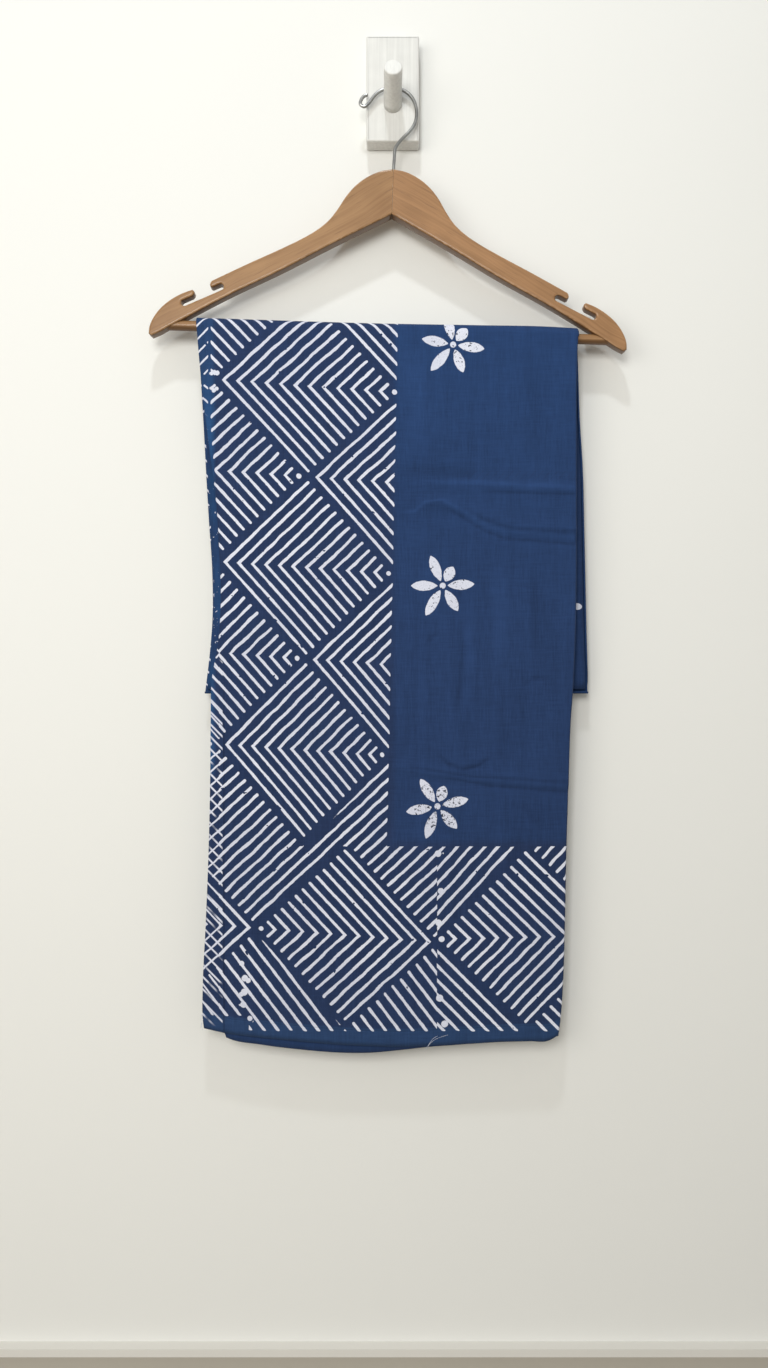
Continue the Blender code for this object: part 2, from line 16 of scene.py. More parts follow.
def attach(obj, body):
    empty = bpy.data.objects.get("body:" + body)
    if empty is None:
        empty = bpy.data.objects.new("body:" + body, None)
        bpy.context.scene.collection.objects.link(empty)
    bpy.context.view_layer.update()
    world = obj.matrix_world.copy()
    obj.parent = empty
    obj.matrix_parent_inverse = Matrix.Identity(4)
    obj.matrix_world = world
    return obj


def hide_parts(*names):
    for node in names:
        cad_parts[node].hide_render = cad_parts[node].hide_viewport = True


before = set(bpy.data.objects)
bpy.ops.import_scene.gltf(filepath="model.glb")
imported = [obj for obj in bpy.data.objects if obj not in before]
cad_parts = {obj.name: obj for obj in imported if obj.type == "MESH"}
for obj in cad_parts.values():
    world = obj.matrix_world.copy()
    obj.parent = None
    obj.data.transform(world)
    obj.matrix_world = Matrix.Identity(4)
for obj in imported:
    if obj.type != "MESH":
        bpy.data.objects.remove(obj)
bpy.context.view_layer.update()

bl_info = {
    "name": "Folded sarong on a hanger",
    "version": (1, 0, 0),
    "blender": (4, 5, 0),
    "location": "3D View > Sidebar > Sarong",
    "description": "Builds a folded block-printed sarong over a wooden hanger on a wall peg",
    "category": "Add Mesh",
}

MM = 0.001
Y_AXIS = np.array([0.0, 1.0, 0.0])

PLATE_SIZE = (50.0, 18.0, 100.0)
PLATE_CORNER = 1.6
PLATE_ROUND = 1.5
PEG_RADIUS = 8.5
PEG_RIM = 1.4
PEG_LENGTH = 42.0
PEG_TILT = math.radians(15.0)
PEG_ROOT = (0.0, -18.3, -14.7)

ROLL = math.radians(1.93)
ROLL_AT = (0.0, -4.0)
HANGER_Y = -23.0
SEAM_X = 3.2
SEAM_GAP = 0.1
ARM_ROUND = 1.9
WIRE_RADIUS = 1.6
BAR_RADIUS = 4.7
BAR_HALF_LENGTH = 212.5
BAR_Z = -233.1
BAR_CLEAR = 0.4
FRONT_DRIFT = 0.8
BACK_DRIFT = -1.5
BACK_BOTTOM = -570.5
FALL_TOP = -225.0

# Thickness of an arm: out from the seam, thickness
ARM_THICK = ((0.0, 13.0), (60.0, 12.8), (130.0, 11.8), (225.0, 11.6))
# Upper edge of an arm: out from the seam, height
ARM_TOP = (
    (0.0, -81.5),
    (12.0, -83.8),
    (24.0, -89.4),
    (34.5, -97.5),
    (43.0, -107.5),
    (51.0, -120.5),
    (59.0, -131.3),
    (70.5, -141.2),
    (83.0, -149.0),
    (101.5, -158.7),
    (132.5, -173.9),
    (153.5, -184.6),
    (167.0, -191.6),
)
# Outer end of an arm, from the tip of the outer prong round to the lower corner
ARM_END = (
    (184.6, -200.4),
    (193.0, -203.6),
    (202.5, -208.9),
    (212.0, -216.5),
    (219.8, -226.5),
    (224.0, -237.0),
    (224.4, -242.6),
)
# Lower edge of an arm, from the outer end back to the seam
ARM_LOWER = (
    (221.6, -244.8),
    (214.0, -241.2),
    (207.0, -236.9),
    (148.0, -203.4),
    (103.0, -180.2),
    (55.0, -153.5),
    (0.0, -124.0),
)
NOTCH_FLOOR = ((154.5, -198.4), (193.2, -216.8))
NOTCH_HEIGHT = 5.6
PRONG_NEAR = 168.5
PRONG_FAR = 182.6
# Hook wire centre line, upright: across, height
HOOK_LINE = (
    (3.2, -97.0),
    (3.2, -84.0),
    (3.6, -70.0),
    (4.8, -58.0),
    (9.7, -51.0),
    (16.0, -44.3),
    (21.3, -36.6),
    (23.3, -26.6),
    (21.6, -17.2),
    (16.6, -8.9),
    (9.0, -4.1),
    (0.0, -2.55),
    (-9.2, -4.4),
    (-15.0, -8.2),
    (-19.0, -13.0),
    (-22.3, -17.8),
    (-26.6, -21.0),
    (-30.0, -18.9),
    (-29.0, -13.9),
    (-26.0, -10.6),
    (-23.4, -9.9),
)

# Front fall: height, left edge, right edge
FRONT_SIDES = (
    (-225.0, -184.0, 172.0),
    (-255.0, -181.5, 170.3),
    (-300.0, -177.0, 169.4),
    (-340.0, -172.0, 169.4),
    (-390.0, -165.5, 169.4),
    (-440.0, -162.0, 169.4),
    (-490.0, -160.6, 169.0),
    (-525.0, -163.0, 168.2),
    (-560.0, -169.0, 166.8),
    (-600.0, -170.0, 164.0),
    (-650.0, -170.4, 162.2),
    (-720.0, -172.0, 160.0),
    (-790.0, -174.8, 158.6),
    (-850.0, -177.6, 156.6),
    (-875.0, -177.6, 154.8),
    (-900.0, -174.0, 151.4),
)
# Back fall: height, left edge, right edge
BACK_SIDES = (
    (-225.0, -184.0, 172.0),
    (-260.0, -183.0, 173.6),
    (-310.0, -180.2, 175.2),
    (-360.0, -177.6, 178.2),
    (-410.0, -174.6, 179.4),
    (-455.0, -171.6, 180.4),
    (-505.0, -171.4, 181.4),
    (-535.0, -173.8, 182.2),
    (-571.0, -178.0, 183.2),
)
# Lower edges of the front fall: share across, height of the outer hem, height of the hem behind it
HEMS = (
    (0.0, -885.4, -882.0),
    (0.06, -890.0, -895.0),
    (0.155, -893.8, -901.2),
    (0.27, -897.5, -905.8),
    (0.38, -900.4, -908.6),
    (0.47, -901.7, -908.7),
    (0.553, -902.2, -906.2),
    (0.64, -901.2, -903.0),
    (0.752, -899.4, -899.9),
    (0.84, -897.5, -894.5),
    (0.923, -896.8, -893.8),
    (0.985, -895.6, -892.5),
    (1.0, -892.5, -889.0),
)
# Bundle thickness: share across, on the bar, lower down
THICKNESS = ((0.0, 2.6, 4.6), (0.5, 3.0, 5.4), (0.75, 4.4, 6.0), (0.92, 5.2, 6.2), (1.0, 4.6, 5.6))
# How far the hidden layers stop short of the left edge: share down the fall, distance
FRONT_SHORT = ((0.0, 1.5), (0.3, 2.5), (0.6, 4.5), (0.85, 7.0), (0.95, 12.0), (1.0, 20.0))
# Hidden layers: share of the depth, distance in from the left, hem above the one behind the outer hem
LAYERS = ((1.0, 0.0, 0.0), (0.75, 3.4, 7.0), (0.5, 0.8, 4.0), (0.25, 4.6, 9.0), (0.0, 1.4, 5.0))
# Creases of the front fall: line of points, height of the ridge, half width
CREASES = (
    (((6.0, -375.0), (90.0, -380.0), (172.0, -383.0)), 1.0, 6.0),
    (((4.0, -404.0), (41.0, -393.0), (77.0, -405.0), (114.0, -418.0), (172.0, -420.0)), 1.3, 6.0),
    (((20.0, -411.0), (60.0, -406.0), (108.0, -427.0), (172.0, -430.0)), -0.8, 6.0),
    (((-4.0, -641.0), (19.0, -642.0), (77.0, -650.0), (163.0, -656.0)), 1.1, 5.0),
    (((10.0, -650.0), (77.0, -658.0), (163.0, -664.0)), -0.7, 6.0),
    (((34.0, -620.0), (59.0, -642.0), (96.0, -630.0)), 0.9, 5.0),
    (((58.0, -485.0), (64.0, -560.0), (60.0, -636.0)), 0.9, 12.0),
)
CREASE_SCALE = 1.05
# Slow ripples of the front fall: waves a metre across and down, phase, height
RIPPLES = (
    (4.1, 1.7, 0.6, 0.16),
    (9.3, -2.2, 2.1, 0.1),
    (2.6, 6.1, 4.0, 0.14),
    (15.0, 3.4, 1.2, 0.06),
    (6.2, 13.1, 5.1, 0.05),
)
RIPPLE_LIFT = 0.2
RIPPLE_FROM = 0.08
FINE_SCALE = 0.7
# Stretches of the front fall that have closer rows of points: middle and half length, as shares down
FINE_ROWS = ((0.262, 0.075), (0.618, 0.045))
HEM_WIDTH = 15.5
HEM_LAP = 0.28
# Bulge of the long fold at the right and of the half-fold at the bottom of the back fall
EDGE_BULGE = 2.2
BOTTOM_BULGE = 2.6
CORNER_OPENING = 0.7
# Hidden layers: width of one, thinnest place of the depth, what the outer layer takes of the bundle
LAYER_WIDTH = 345.0
LEAST_DEPTH = 0.24
OUTER_SHARE = 1.3
# Fine folds of the front fall, pressed into the cloth: line of points, height, half width
FINE_FOLDS = (
    (((2.0, -376.0), (88.0, -376.4), (120.0, -379.0), (172.0, -380.5)), 0.5, 2.4),
    (((2.0, -362.0), (85.0, -369.0)), -0.35, 6.0),
    (((81.0, -384.4), (120.0, -386.0), (172.0, -387.2)), -0.5, 1.4),
    (((3.0, -404.4), (20.0, -403.6), (30.0, -394.4), (46.0, -392.4), (61.0, -401.0)), 0.55, 1.5),
    (((46.0, -392.4), (61.0, -401.0), (85.0, -415.3), (104.0, -422.4), (172.0, -428.0)), 0.5, 2.4),
    (((44.0, -397.4), (61.0, -406.0), (84.0, -420.4), (104.0, -428.6), (172.0, -433.6)), -0.5, 1.4),
    (((60.0, -396.4), (90.0, -413.0), (112.0, -419.4), (172.0, -422.4)), -0.32, 1.3),
    (((5.0, -640.0), (72.0, -650.0), (162.0, -655.4)), -0.4, 1.3),
    (((5.0, -642.4), (72.0, -653.4), (162.0, -659.6)), 0.4, 2.2),
    (((40.0, -649.4), (90.0, -658.8), (162.0, -664.5)), -0.55, 1.3),
    (((61.8, -501.0), (64.6, -540.0), (57.1, -606.0)), -0.5, 2.6),
    (((69.0, -500.0), (72.0, -540.0), (65.0, -606.0)), 0.35, 4.0),
    (((57.0, -440.0), (60.0, -480.0), (61.8, -501.0)), -0.3, 3.4),
    (((34.7, -621.0), (52.0, -639.0), (66.0, -643.4), (80.0, -640.0), (95.4, -627.5)), -0.6, 1.5),
    (((29.1, -526.6), (43.1, -515.4)), -0.5, 1.7),
    (((118.8, -567.7), (130.0, -558.4), (148.7, -555.6)), -0.45, 1.5),
    (((12.0, -560.0), (15.0, -600.0), (11.0, -632.0)), -0.22, 3.0),
    (((104.0, -596.0), (107.0, -622.0), (104.0, -646.0)), -0.2, 3.4),
    (((128.0, -446.0), (134.0, -490.0), (131.0, -540.0)), -0.22, 5.0),
    (((36.0, -436.0), (33.0, -476.0), (38.0, -510.0)), 0.22, 5.0),
    (((96.0, -450.0), (101.0, -500.0), (99.0, -560.0)), 0.25, 8.0),
    (((20.0, -250.0), (24.0, -300.0), (21.0, -356.0)), 0.25, 9.0),
    (((128.0, -246.0), (133.0, -310.0), (131.0, -364.0)), -0.25, 9.0),
    (((22.0, -690.0), (60.0, -704.0)), -0.25, 3.0),
    (((118.0, -672.0), (140.0, -700.0)), -0.25, 3.0),
)

# Print, in millimetres on the cloth: across is X, down is -Z on the front fall and goes on over the bar
SIDE_HALF = (88.0, 85.0)
SIDE_DRAWN = 79.4
SIDE_CENTRE = (-78.3, 285.6)
SIDE_TILT = 0.07
FOOT_HALF = (84.1, 84.1)
FOOT_DRAWN = 78.4
FOOT_CENTRE = (-44.7, 798.0)
FOOT_TOP = 715.4
FOOT_LOW = 886.5
# Tip of a petal on the part of the back fall that sticks out at the right
PETAL_TIP = (174.5, -30.5)
# Lighter indigo painted as sheen on the fold at the left edge, painted shadow along the fold's line, specks
# in petals, worn print
EDGE_FOLD_SHEEN = (0.0195, 0.078, 0.205, 1.0)
FOLD_LINE_SHADOW = (0.006, 0.008, 0.02, 1.0)
SPECK_SHADE = (0.004, 0.006, 0.014, 1.0)
WORN_PRINT = (0.66, 0.68, 0.79, 1.0)
BLOCK_SEAM = 41.2
LEVELS = 12.0
SIDE_LEAN = 0.0112
SIDE_NARROWING = 0.00026
ROOT2 = math.sqrt(2.0)
# Slanted lines, left and right of the block's seam: rise for each step across, start, length, pitch
RISING = ((1.0758, -684.8, 1.469, 9.05), (0.909, -761.4, 1.351, 9.4))
FALLING = ((-0.76, 731.0, 1.256, 10.0), (-1.0, 771.7, 1.414, 9.6))
# Petals: direction in degrees, length, for a flower that isn't turned
PETALS = ((180.0, 29.6), (112.0, 30.2), (61.0, 20.2), (3.0, 29.6), (-59.0, 27.6), (-119.5, 32.0))
# Flowers: across, down, turn in degrees
FLOWERS = (
    (60.0, -205.0, 12.0),
    (38.0, 30.0, -4.0),
    (56.2, 247.3, -11.0),
    (46.4, 472.4, 0.0),
    (41.5, 678.0, 10.0),
)
# Blots: across, down, radius
BLOTS = (
    (-169.4, 273.8, 1.6),
    (-166.8, 272.2, 1.5),
    (-164.2, 273.4, 2.0),
    (-169.6, 287.6, 1.4),
    (-167.2, 289.6, 1.8),
    (-164.6, 288.0, 1.6),
    (-141.0, 824.6, 2.3),
    (-138.2, 838.4, 3.0),
    (-135.2, 840.4, 2.4),
    (-138.6, 851.4, 3.2),
    (-141.6, 853.4, 2.2),
    (-139.6, 863.2, 2.8),
    (-133.4, 876.0, 2.3),
    (42.6, 786.6, 3.0),
    (45.4, 801.8, 2.7),
    (44.6, 757.0, 2.8),
    (42.0, 722.0, 3.0),
    (48.2, 880.8, 3.2),
    (43.6, 856.8, 3.4),
)

# Loose threads: points across and height; the last two are the frayed ends at the lower left corner
THREADS = (
    ((30.0, -903.6), (33.0, -900.2), (38.0, -895.6), (45.0, -892.4), (51.2, -890.6)),
    ((31.6, -904.2), (33.6, -899.4), (37.2, -894.2), (41.4, -891.6)),
    ((-177.6, -871.0), (-178.7, -874.6), (-178.4, -879.6), (-178.9, -884.0)),
    ((-176.8, -876.0), (-177.9, -881.0), (-177.2, -886.4)),
)
THREAD_RADIUS = 0.13

# The stage, in metres
WALL_FACE = 0.0003
ROOM_HALF = 3.0
FLOOR_Z = -1.2055
SKIRTING = (0.012, 0.0075)
CAMERA_AT = (-0.0083, -0.996, -0.564)
CAMERA_LENS = 27.18
ROOM_GLOW = 0.45
# Lights: name, place, what it points at, size across and up, share of the strength, colour
LIGHTS = (
    ("ceiling_light", (-0.1, -0.9, 1.12), (0.0, 0.0, -0.5), (0.12, 0.1), 1.7, (0.93, 0.99, 1.04)),
    ("window_light", (-1.1, -1.45, -0.25), (-0.2, 0.0, -0.4), (1.0, 1.0), 2.0, (1.0, 0.97, 0.905)),
    ("room_light", (-0.25, -1.8, 0.0), (0.0, 0.0, -0.4), (0.6, 0.6), 3.4, (1.0, 0.992, 0.962)),
)


def curve(table, column, at):
    """Smooth curve through a table: cubic pieces whose slopes are those of the neighbouring points."""
    rows = sorted(table)
    x = np.array([row[0] for row in rows])
    y = np.array([row[column] for row in rows])
    slope = np.gradient(y, x)
    at = np.clip(np.asarray(at, float), x[0], x[-1])
    i = np.clip(np.searchsorted(x, at) - 1, 0, len(x) - 2)
    width = x[i + 1] - x[i]
    t = (at - x[i]) / width
    rise = t * t * (3 - 2 * t)
    bends = width * (slope[i] * t * (1 - t) ** 2 - slope[i + 1] * t * t * (1 - t))
    return y[i] + (y[i + 1] - y[i]) * rise + bends


def through(points, per):
    """Points of a smooth line through the given ones, per of them to each stretch, by running length."""
    points = np.array(points, float)
    run = np.concatenate([[0.0], np.cumsum(np.linalg.norm(np.diff(points, axis=0), axis=1))])
    stretches = [np.linspace(a, b, per, endpoint=False) for a, b in zip(run, run[1:])]
    at = np.concatenate(stretches + [run[-1:]])
    tables = [tuple(zip(run, points[:, axis])) for axis in range(points.shape[1])]
    return np.stack([curve(table, 1, at) for table in tables], axis=-1)


def smoothstep(t):
    """0 below 0, 1 above 1, and 3t^2 - 2t^3 between."""
    t = np.clip(t, 0.0, 1.0)
    return t * t * (3 - 2 * t)


def rolled(points):
    """Upright hanger points turned about Y where the hook rests, so that the right end hangs lower."""
    points = np.array(points, float)
    across = points[..., 0] - ROLL_AT[0]
    up = points[..., 2] - ROLL_AT[1]
    c = math.cos(ROLL)
    s = math.sin(ROLL)
    points[..., 0] = ROLL_AT[0] + c * across + s * up
    points[..., 2] = ROLL_AT[1] - s * across + c * up
    return points


def waves(x, z, amounts):
    """Sum of slow sine waves; a row has its two wave numbers per metre, its phase and its height in mm."""
    total = 0.0
    for kx, kz, phase, height in amounts:
        total = total + height * np.sin(2 * math.pi * (kx * x + kz * z) * MM + phase)
    return total


def place(name, points, faces, look, nodes=(), uv=None, edge=None):
    """One closed, smooth piece on the root body, turned outwards by the sign of its volume.

    The volume is a sixth of the sum of a . (b x c) over the quads cut into triangles. uv and edge are
    two coordinates to a point, kept as the UV maps "print" and "edge"."""
    points = np.asarray(points, float) * MM
    faces = np.asarray(faces, int)
    a, b, c, d = (points[faces[:, i]] for i in range(4))
    volume = np.sum(a * np.cross(b, c)) + np.sum(a * np.cross(c, d))
    if volume < 0:
        faces = faces[:, ::-1]
    mesh = bpy.data.meshes.new(name)
    faces = [face[:3] if face[2] == face[3] else face for face in faces.tolist()]
    faces = [face[1:] if face[0] == face[1] else face for face in faces]
    mesh.from_pydata(points.tolist(), [], faces)
    loops = np.zeros(len(mesh.loops), np.int32)
    mesh.loops.foreach_get("vertex_index", loops)
    for layer, values in (("print", uv), ("edge", edge)):
        if values is not None:
            made = mesh.uv_layers.new(name=layer)
            made.data.foreach_set("uv", np.asarray(values, float)[loops].ravel())
    mesh.shade_smooth()
    mesh.update()
    piece = bpy.data.objects.new(name, mesh)
    bpy.context.scene.collection.objects.link(piece)
    mesh.materials.append(look)
    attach(piece, "root")
    if nodes:
        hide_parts(*nodes)
    return piece


def grid_quads(rows, columns, start=0, around=False):
    """Quads between neighbouring rows of points, closed round each row if asked."""
    i = np.arange(rows - 1)[:, None] * columns + start
    j = np.arange(columns if around else columns - 1)[None, :]
    k = (j + 1) % columns
    return np.stack([i + j, i + k, i + columns + k, i + columns + j], axis=-1).reshape(-1, 4)


def capped(ring):
    """Triangles that fill a ring, turned the way it runs: its normal is half the sum of p x (next p)."""
    triangles = np.array(tessellate_polygon([[Vector(point) for point in ring]]))
    normal = np.sum(np.cross(ring, np.roll(ring, -1, axis=0)), axis=0)
    a, b, c = (ring[triangles[:, i]] for i in range(3))
    backwards = np.cross(b - a, c - a) @ normal < 0
    triangles[backwards] = triangles[backwards][:, ::-1]
    return triangles


def ringed(name, rings, look, nodes=(), edge=None):
    """Rings of points joined one to the next; both ends are filled with triangles between their points."""
    rings = np.asarray(rings, float)
    rows, count = rings.shape[:2]
    low = capped(rings[0])[:, ::-1]
    high = capped(rings[-1]) + (rows - 1) * count
    caps = np.concatenate([low, high])
    faces = np.concatenate([grid_quads(rows, count, around=True), caps[:, [0, 1, 2, 2]]])
    return place(name, rings.reshape(-1, 3), faces, look, nodes, edge=edge)


def sheeted(name, face, wall, look, uv, edge, nodes=()):
    """A sheet with a wall: a grid of outer points, the same grid moved in along its normals, and four rims.

    The normal is the cross product of the grid's two tangents, turned away from the bar."""
    along = np.gradient(face, axis=0)
    across = np.gradient(face, axis=1)
    normal = np.cross(along, across)
    normal /= np.maximum(np.linalg.norm(normal, axis=2, keepdims=True), 1e-9)
    row = face.shape[0] // 4
    column = face.shape[1] // 2
    if normal[row, column, 1] > 0:
        normal = -normal
    inner = face - normal * np.broadcast_to(wall, face.shape[:2])[..., None]
    rows, columns = face.shape[:2]
    count = rows * columns
    front = grid_quads(rows, columns)
    back = (front + count)[:, ::-1]
    index = np.arange(count).reshape(rows, columns)
    rim = np.concatenate([index[0], index[1:, -1], index[-1, -2::-1], index[-2:0:-1, 0]])
    after = np.roll(rim, -1)
    sides = np.stack([after, rim, count + rim, count + after], axis=1)
    points = np.concatenate([face.reshape(-1, 3), inner.reshape(-1, 3)])
    faces = np.concatenate([front, back, sides])
    uv = np.tile(uv.reshape(-1, 2), (2, 1))
    edge = np.tile(edge.reshape(-1, 2), (2, 1))
    return place(name, points, faces, look, nodes, uv, edge)


def crease(x, z, table=CREASES):
    """Depth added to the front fall: each crease is a ridge or trough that fades across and at its ends.

    A crease is height * exp(-(distance to its line / half width)^2), with a smooth step at each end."""
    total = np.zeros(np.broadcast(x, z).shape)
    for line, height, half in table:
        nearest = np.full(total.shape, 1e9)
        where = np.zeros(total.shape)
        for i, (a, b) in enumerate(zip(line, line[1:])):
            dx, dz = b[0] - a[0], b[1] - a[1]
            t = np.clip(((x - a[0]) * dx + (z - a[1]) * dz) / (dx * dx + dz * dz), 0, 1)
            away = np.hypot(x - a[0] - t * dx, z - a[1] - t * dz)
            where = np.where(away < nearest, (i + t) / (len(line) - 1), where)
            nearest = np.minimum(nearest, away)
        ends = smoothstep(where / 0.25)
        if line[-1][0] < 150:
            ends = ends * smoothstep((1 - where) / 0.25)
        total += height * ends * np.exp(-((nearest / half) ** 2))
    return total


def bar_height(x):
    """Height of the bar's centre line at a place across the rolled hanger."""
    middle = rolled([(SEAM_X, 0.0, BAR_Z)])[0]
    return middle[2] - math.tan(ROLL) * (x - middle[0])


def bundle(share, down):
    """Thickness of the folded cloth, thin where the bar presses it and looser below."""
    loose = smoothstep(down / 0.35)
    return curve(THICKNESS, 1, share) * (1 - loose) + curve(THICKNESS, 2, share) * loose


def top_across(share):
    """Place across the bar for a share of the cloth's width."""
    return curve(FRONT_SIDES, 1, FALL_TOP) * (1 - share) + curve(FRONT_SIDES, 2, FALL_TOP) * share


def front_point(share, down, depth, low, ridge=1.0, trough=1.0):
    """Front fall: share across, share down, depth out from its bar side, height of its lower edge."""
    top = bar_height(top_across(share))
    z = top + down * (low - top)
    left = curve(FRONT_SIDES, 1, z)
    right = curve(FRONT_SIDES, 2, z)
    x = left + share * (right - left)
    folds = crease(x, z) * CREASE_SCALE
    folds = np.where(folds > 0, ridge, trough) * folds * smoothstep(depth / 2.0)
    y = HANGER_Y - BAR_RADIUS - BAR_CLEAR - depth + FRONT_DRIFT * down - folds
    return np.stack(np.broadcast_arrays(x, y, z), axis=-1)


def over_point(share, turn, depth):
    """Half turn over the bar: share across, angle from the front, depth out from the bar."""
    x = top_across(share)
    radius = BAR_RADIUS + BAR_CLEAR + depth
    y = HANGER_Y - radius * np.cos(turn)
    z = bar_height(x) + radius * np.sin(turn)
    return np.stack(np.broadcast_arrays(x, y, z), axis=-1)


def back_point(share, down, depth):
    """Back fall: share across, share down, depth out from its bar side."""
    left = curve(BACK_SIDES, 1, FALL_TOP)
    right = curve(BACK_SIDES, 2, FALL_TOP)
    top = bar_height(left * (1 - share) + right * share)
    z = top + down * (BACK_BOTTOM - top)
    left = curve(BACK_SIDES, 1, z)
    right = curve(BACK_SIDES, 2, z)
    x = left + share * (right - left)
    y = HANGER_Y + BAR_RADIUS + BAR_CLEAR + depth + BACK_DRIFT * down
    return np.stack(np.broadcast_arrays(x, y, z), axis=-1)


def flat_place(face, front_count):
    """Where each point lies on the flat cloth: across is X, and up is height on the front fall.

    Past the top of the front fall, up goes on by the length travelled over the bar and down the back."""
    up = face[..., 2].copy()
    steps = np.linalg.norm(np.diff(face[front_count - 1 :], axis=0), axis=2)
    up[front_count:] = up[front_count - 1] + np.cumsum(steps, axis=0)
    return np.stack([face[..., 0], up], axis=-1) * MM


def front_rows():
    """Shares down the front fall, from its foot up, about three times closer where fine folds cross it."""
    even = np.linspace(0.0, 1.0, 2001)
    close = np.zeros(even.size, bool)
    for middle, half in FINE_ROWS:
        close |= np.abs(even - middle) < half
    run = np.concatenate([[0.0], np.cumsum(1.0 + 2.2 * close[1:])])
    return np.interp(np.linspace(1.0, 0.0, 226), run / run[-1], even)


def front_fall(share, front_down, hem, softness):
    """Front fall of the layer that shows, its fine folds, and each point's height above the hem."""
    front = front_point(share, front_down[:, None], bundle(share, front_down[:, None]), hem)
    x = front[..., 0]
    z = front[..., 2]
    fine = crease(x, z, FINE_FOLDS)
    ripple = (waves(x, z, RIPPLES) + RIPPLE_LIFT) * smoothstep(front_down / RIPPLE_FROM)[:, None]
    above = z - hem
    lap = HEM_LAP * smoothstep((HEM_WIDTH - above) / 1.4) * smoothstep(above / 1.5 + 0.35)
    front[..., 1] -= ripple * softness + fine * FINE_SCALE + lap
    return front, fine, above


def with_right_edge(face, flat, front_down, turns, back_down):
    """The face and its flat places with the right edge turned in, and how far round its last row turns.

    The turn is half an ellipse as deep as the bundle; it opens towards the bottom of the back fall."""
    facing = np.concatenate([np.zeros(len(front_down)), turns, np.full(len(back_down), math.pi)])
    inward = np.stack([np.zeros(len(facing)), np.cos(facing), -np.sin(facing)], axis=1)
    down = np.concatenate([front_down, np.zeros(len(turns)), back_down])
    opened = smoothstep((back_down - 0.9) / 0.1) * CORNER_OPENING
    opened = np.concatenate([np.zeros(len(front_down) + len(turns)), opened])
    turned = np.radians(np.linspace(12.0, 168.0, 14))[None, :] * (1 - opened[:, None])
    thick = bundle(1.0, down)[:, None, None]
    edge = face[:, -1:, :] + inward[:, None, :] * thick * (1 - np.cos(turned))[:, :, None] / 2
    edge = edge + np.array([1.0, 0.0, 0.0]) * EDGE_BULGE * np.sin(turned)[:, :, None]
    steps = np.diff(np.concatenate([face[:, -1:], edge], axis=1), axis=1)
    flat_edge = np.repeat(flat[:, -1:, :], edge.shape[1], axis=1)
    flat_edge[..., 0] += np.cumsum(np.linalg.norm(steps, axis=2), axis=1) * MM
    return np.concatenate([face, edge], axis=1), np.concatenate([flat, flat_edge], axis=1), turned[-1]


def with_bottom_fold(face, flat, share, turned):
    """The face and its flat places with the bottom of the back fall turned in the same way."""
    thick = bundle(np.concatenate([share[0], np.ones(turned.size)]), 1.0)
    start = np.concatenate([np.zeros(share.size), turned])
    bottom = np.radians(np.linspace(15.0, 165.0, 11))[:, None]
    deeper = np.maximum(start, bottom + start * 0.2)
    rows = np.repeat(face[-1:], len(bottom), axis=0)
    rows[..., 1] += thick * (np.cos(deeper) - np.cos(start)) / 2
    rows[..., 2] -= BOTTOM_BULGE * np.sin(bottom)
    flat_rows = np.repeat(flat[-1:], len(bottom), axis=0)
    flat_rows[..., 1] += np.radians(15.0) * 3.0 * MM * np.arange(1, len(bottom) + 1)[:, None]
    return np.concatenate([face, rows]), np.concatenate([flat, flat_rows])


def outer_face(settings):
    """Outer points of the layer that shows, its flat places, its fine folds (whose heights paint shade and
    light into the cloth's colour) and distance from the hem.

    Front fall, half turn over the bar, back fall, then the turned right edge and the turned bottom."""
    share = np.linspace(0.0, 1.0, 136)[None, :]
    front_down = front_rows()
    turns = np.linspace(0.0, math.pi, 20)[1:-1]
    back_down = np.linspace(0.0, 1.0, 60)
    front, fine, above = front_fall(share, front_down, curve(HEMS, 1, share), settings.softness)
    over = over_point(share, turns[:, None], bundle(share, 0.0))
    back = back_point(share, back_down[:, None], bundle(share, back_down[:, None]))
    face = np.concatenate([front, over, back])
    flat = flat_place(face, len(front))
    face, flat, turned = with_right_edge(face, flat, front_down, turns, back_down)
    face, flat = with_bottom_fold(face, flat, share, turned)
    hem_away = np.full(face.shape[:2], 1.0)
    hem_away[: len(front), : share.size] = above * MM
    hem_away[: len(front), share.size :] = above[:, -1:] * MM
    # Heights of the fine folds, which paint shade into their troughs and light onto their ridges
    tone = np.zeros(face.shape[:2])
    tone[: len(front), : share.size] = fine
    return face, flat, np.stack([tone, hem_away], axis=-1)


def hidden_face(part, inset, lift):
    """Outer points of one hidden layer, at its share of the depth: front fall, over the bar, back fall."""
    share = np.linspace(0.0, 1.0, 56)[None, :]
    front_down = np.linspace(1.0, 0.0, 120)[:, None]
    turns = np.linspace(0.0, math.pi, 20)[1:-1][:, None]
    back_down = np.linspace(0.0, 1.0 - 1.6 / 340.0, 44)[:, None]
    end = 1 - (0.7 + 0.3 * abs(part - 0.5)) / LAYER_WIDTH

    def across(short):
        start = (short + inset) / LAYER_WIDTH
        return start + share * (end - start)

    at = across(curve(FRONT_SHORT, 1, front_down))
    thick = bundle(at, front_down) - OUTER_SHARE - 0.8 * smoothstep((front_down - 0.1) / 0.1)
    low = curve(HEMS, 2, at) + lift
    front = front_point(at, front_down, np.maximum(thick * part, LEAST_DEPTH), low, 0.4, 2.2)
    above = front[..., 2] - low
    at = across(1.5)
    thick = bundle(at, 0.0) - OUTER_SHARE
    over = over_point(at, turns, np.maximum(thick * part, LEAST_DEPTH))
    thick = bundle(at, back_down) - OUTER_SHARE
    back = back_point(at, back_down, np.maximum(thick * part, LEAST_DEPTH))
    face = np.concatenate([front, over, back])
    hem_away = np.full(face.shape[:2], 1.0)
    hem_away[: len(front)] = above * MM
    return face, flat_place(face, len(front)), np.stack([np.zeros_like(hem_away), hem_away], axis=-1)


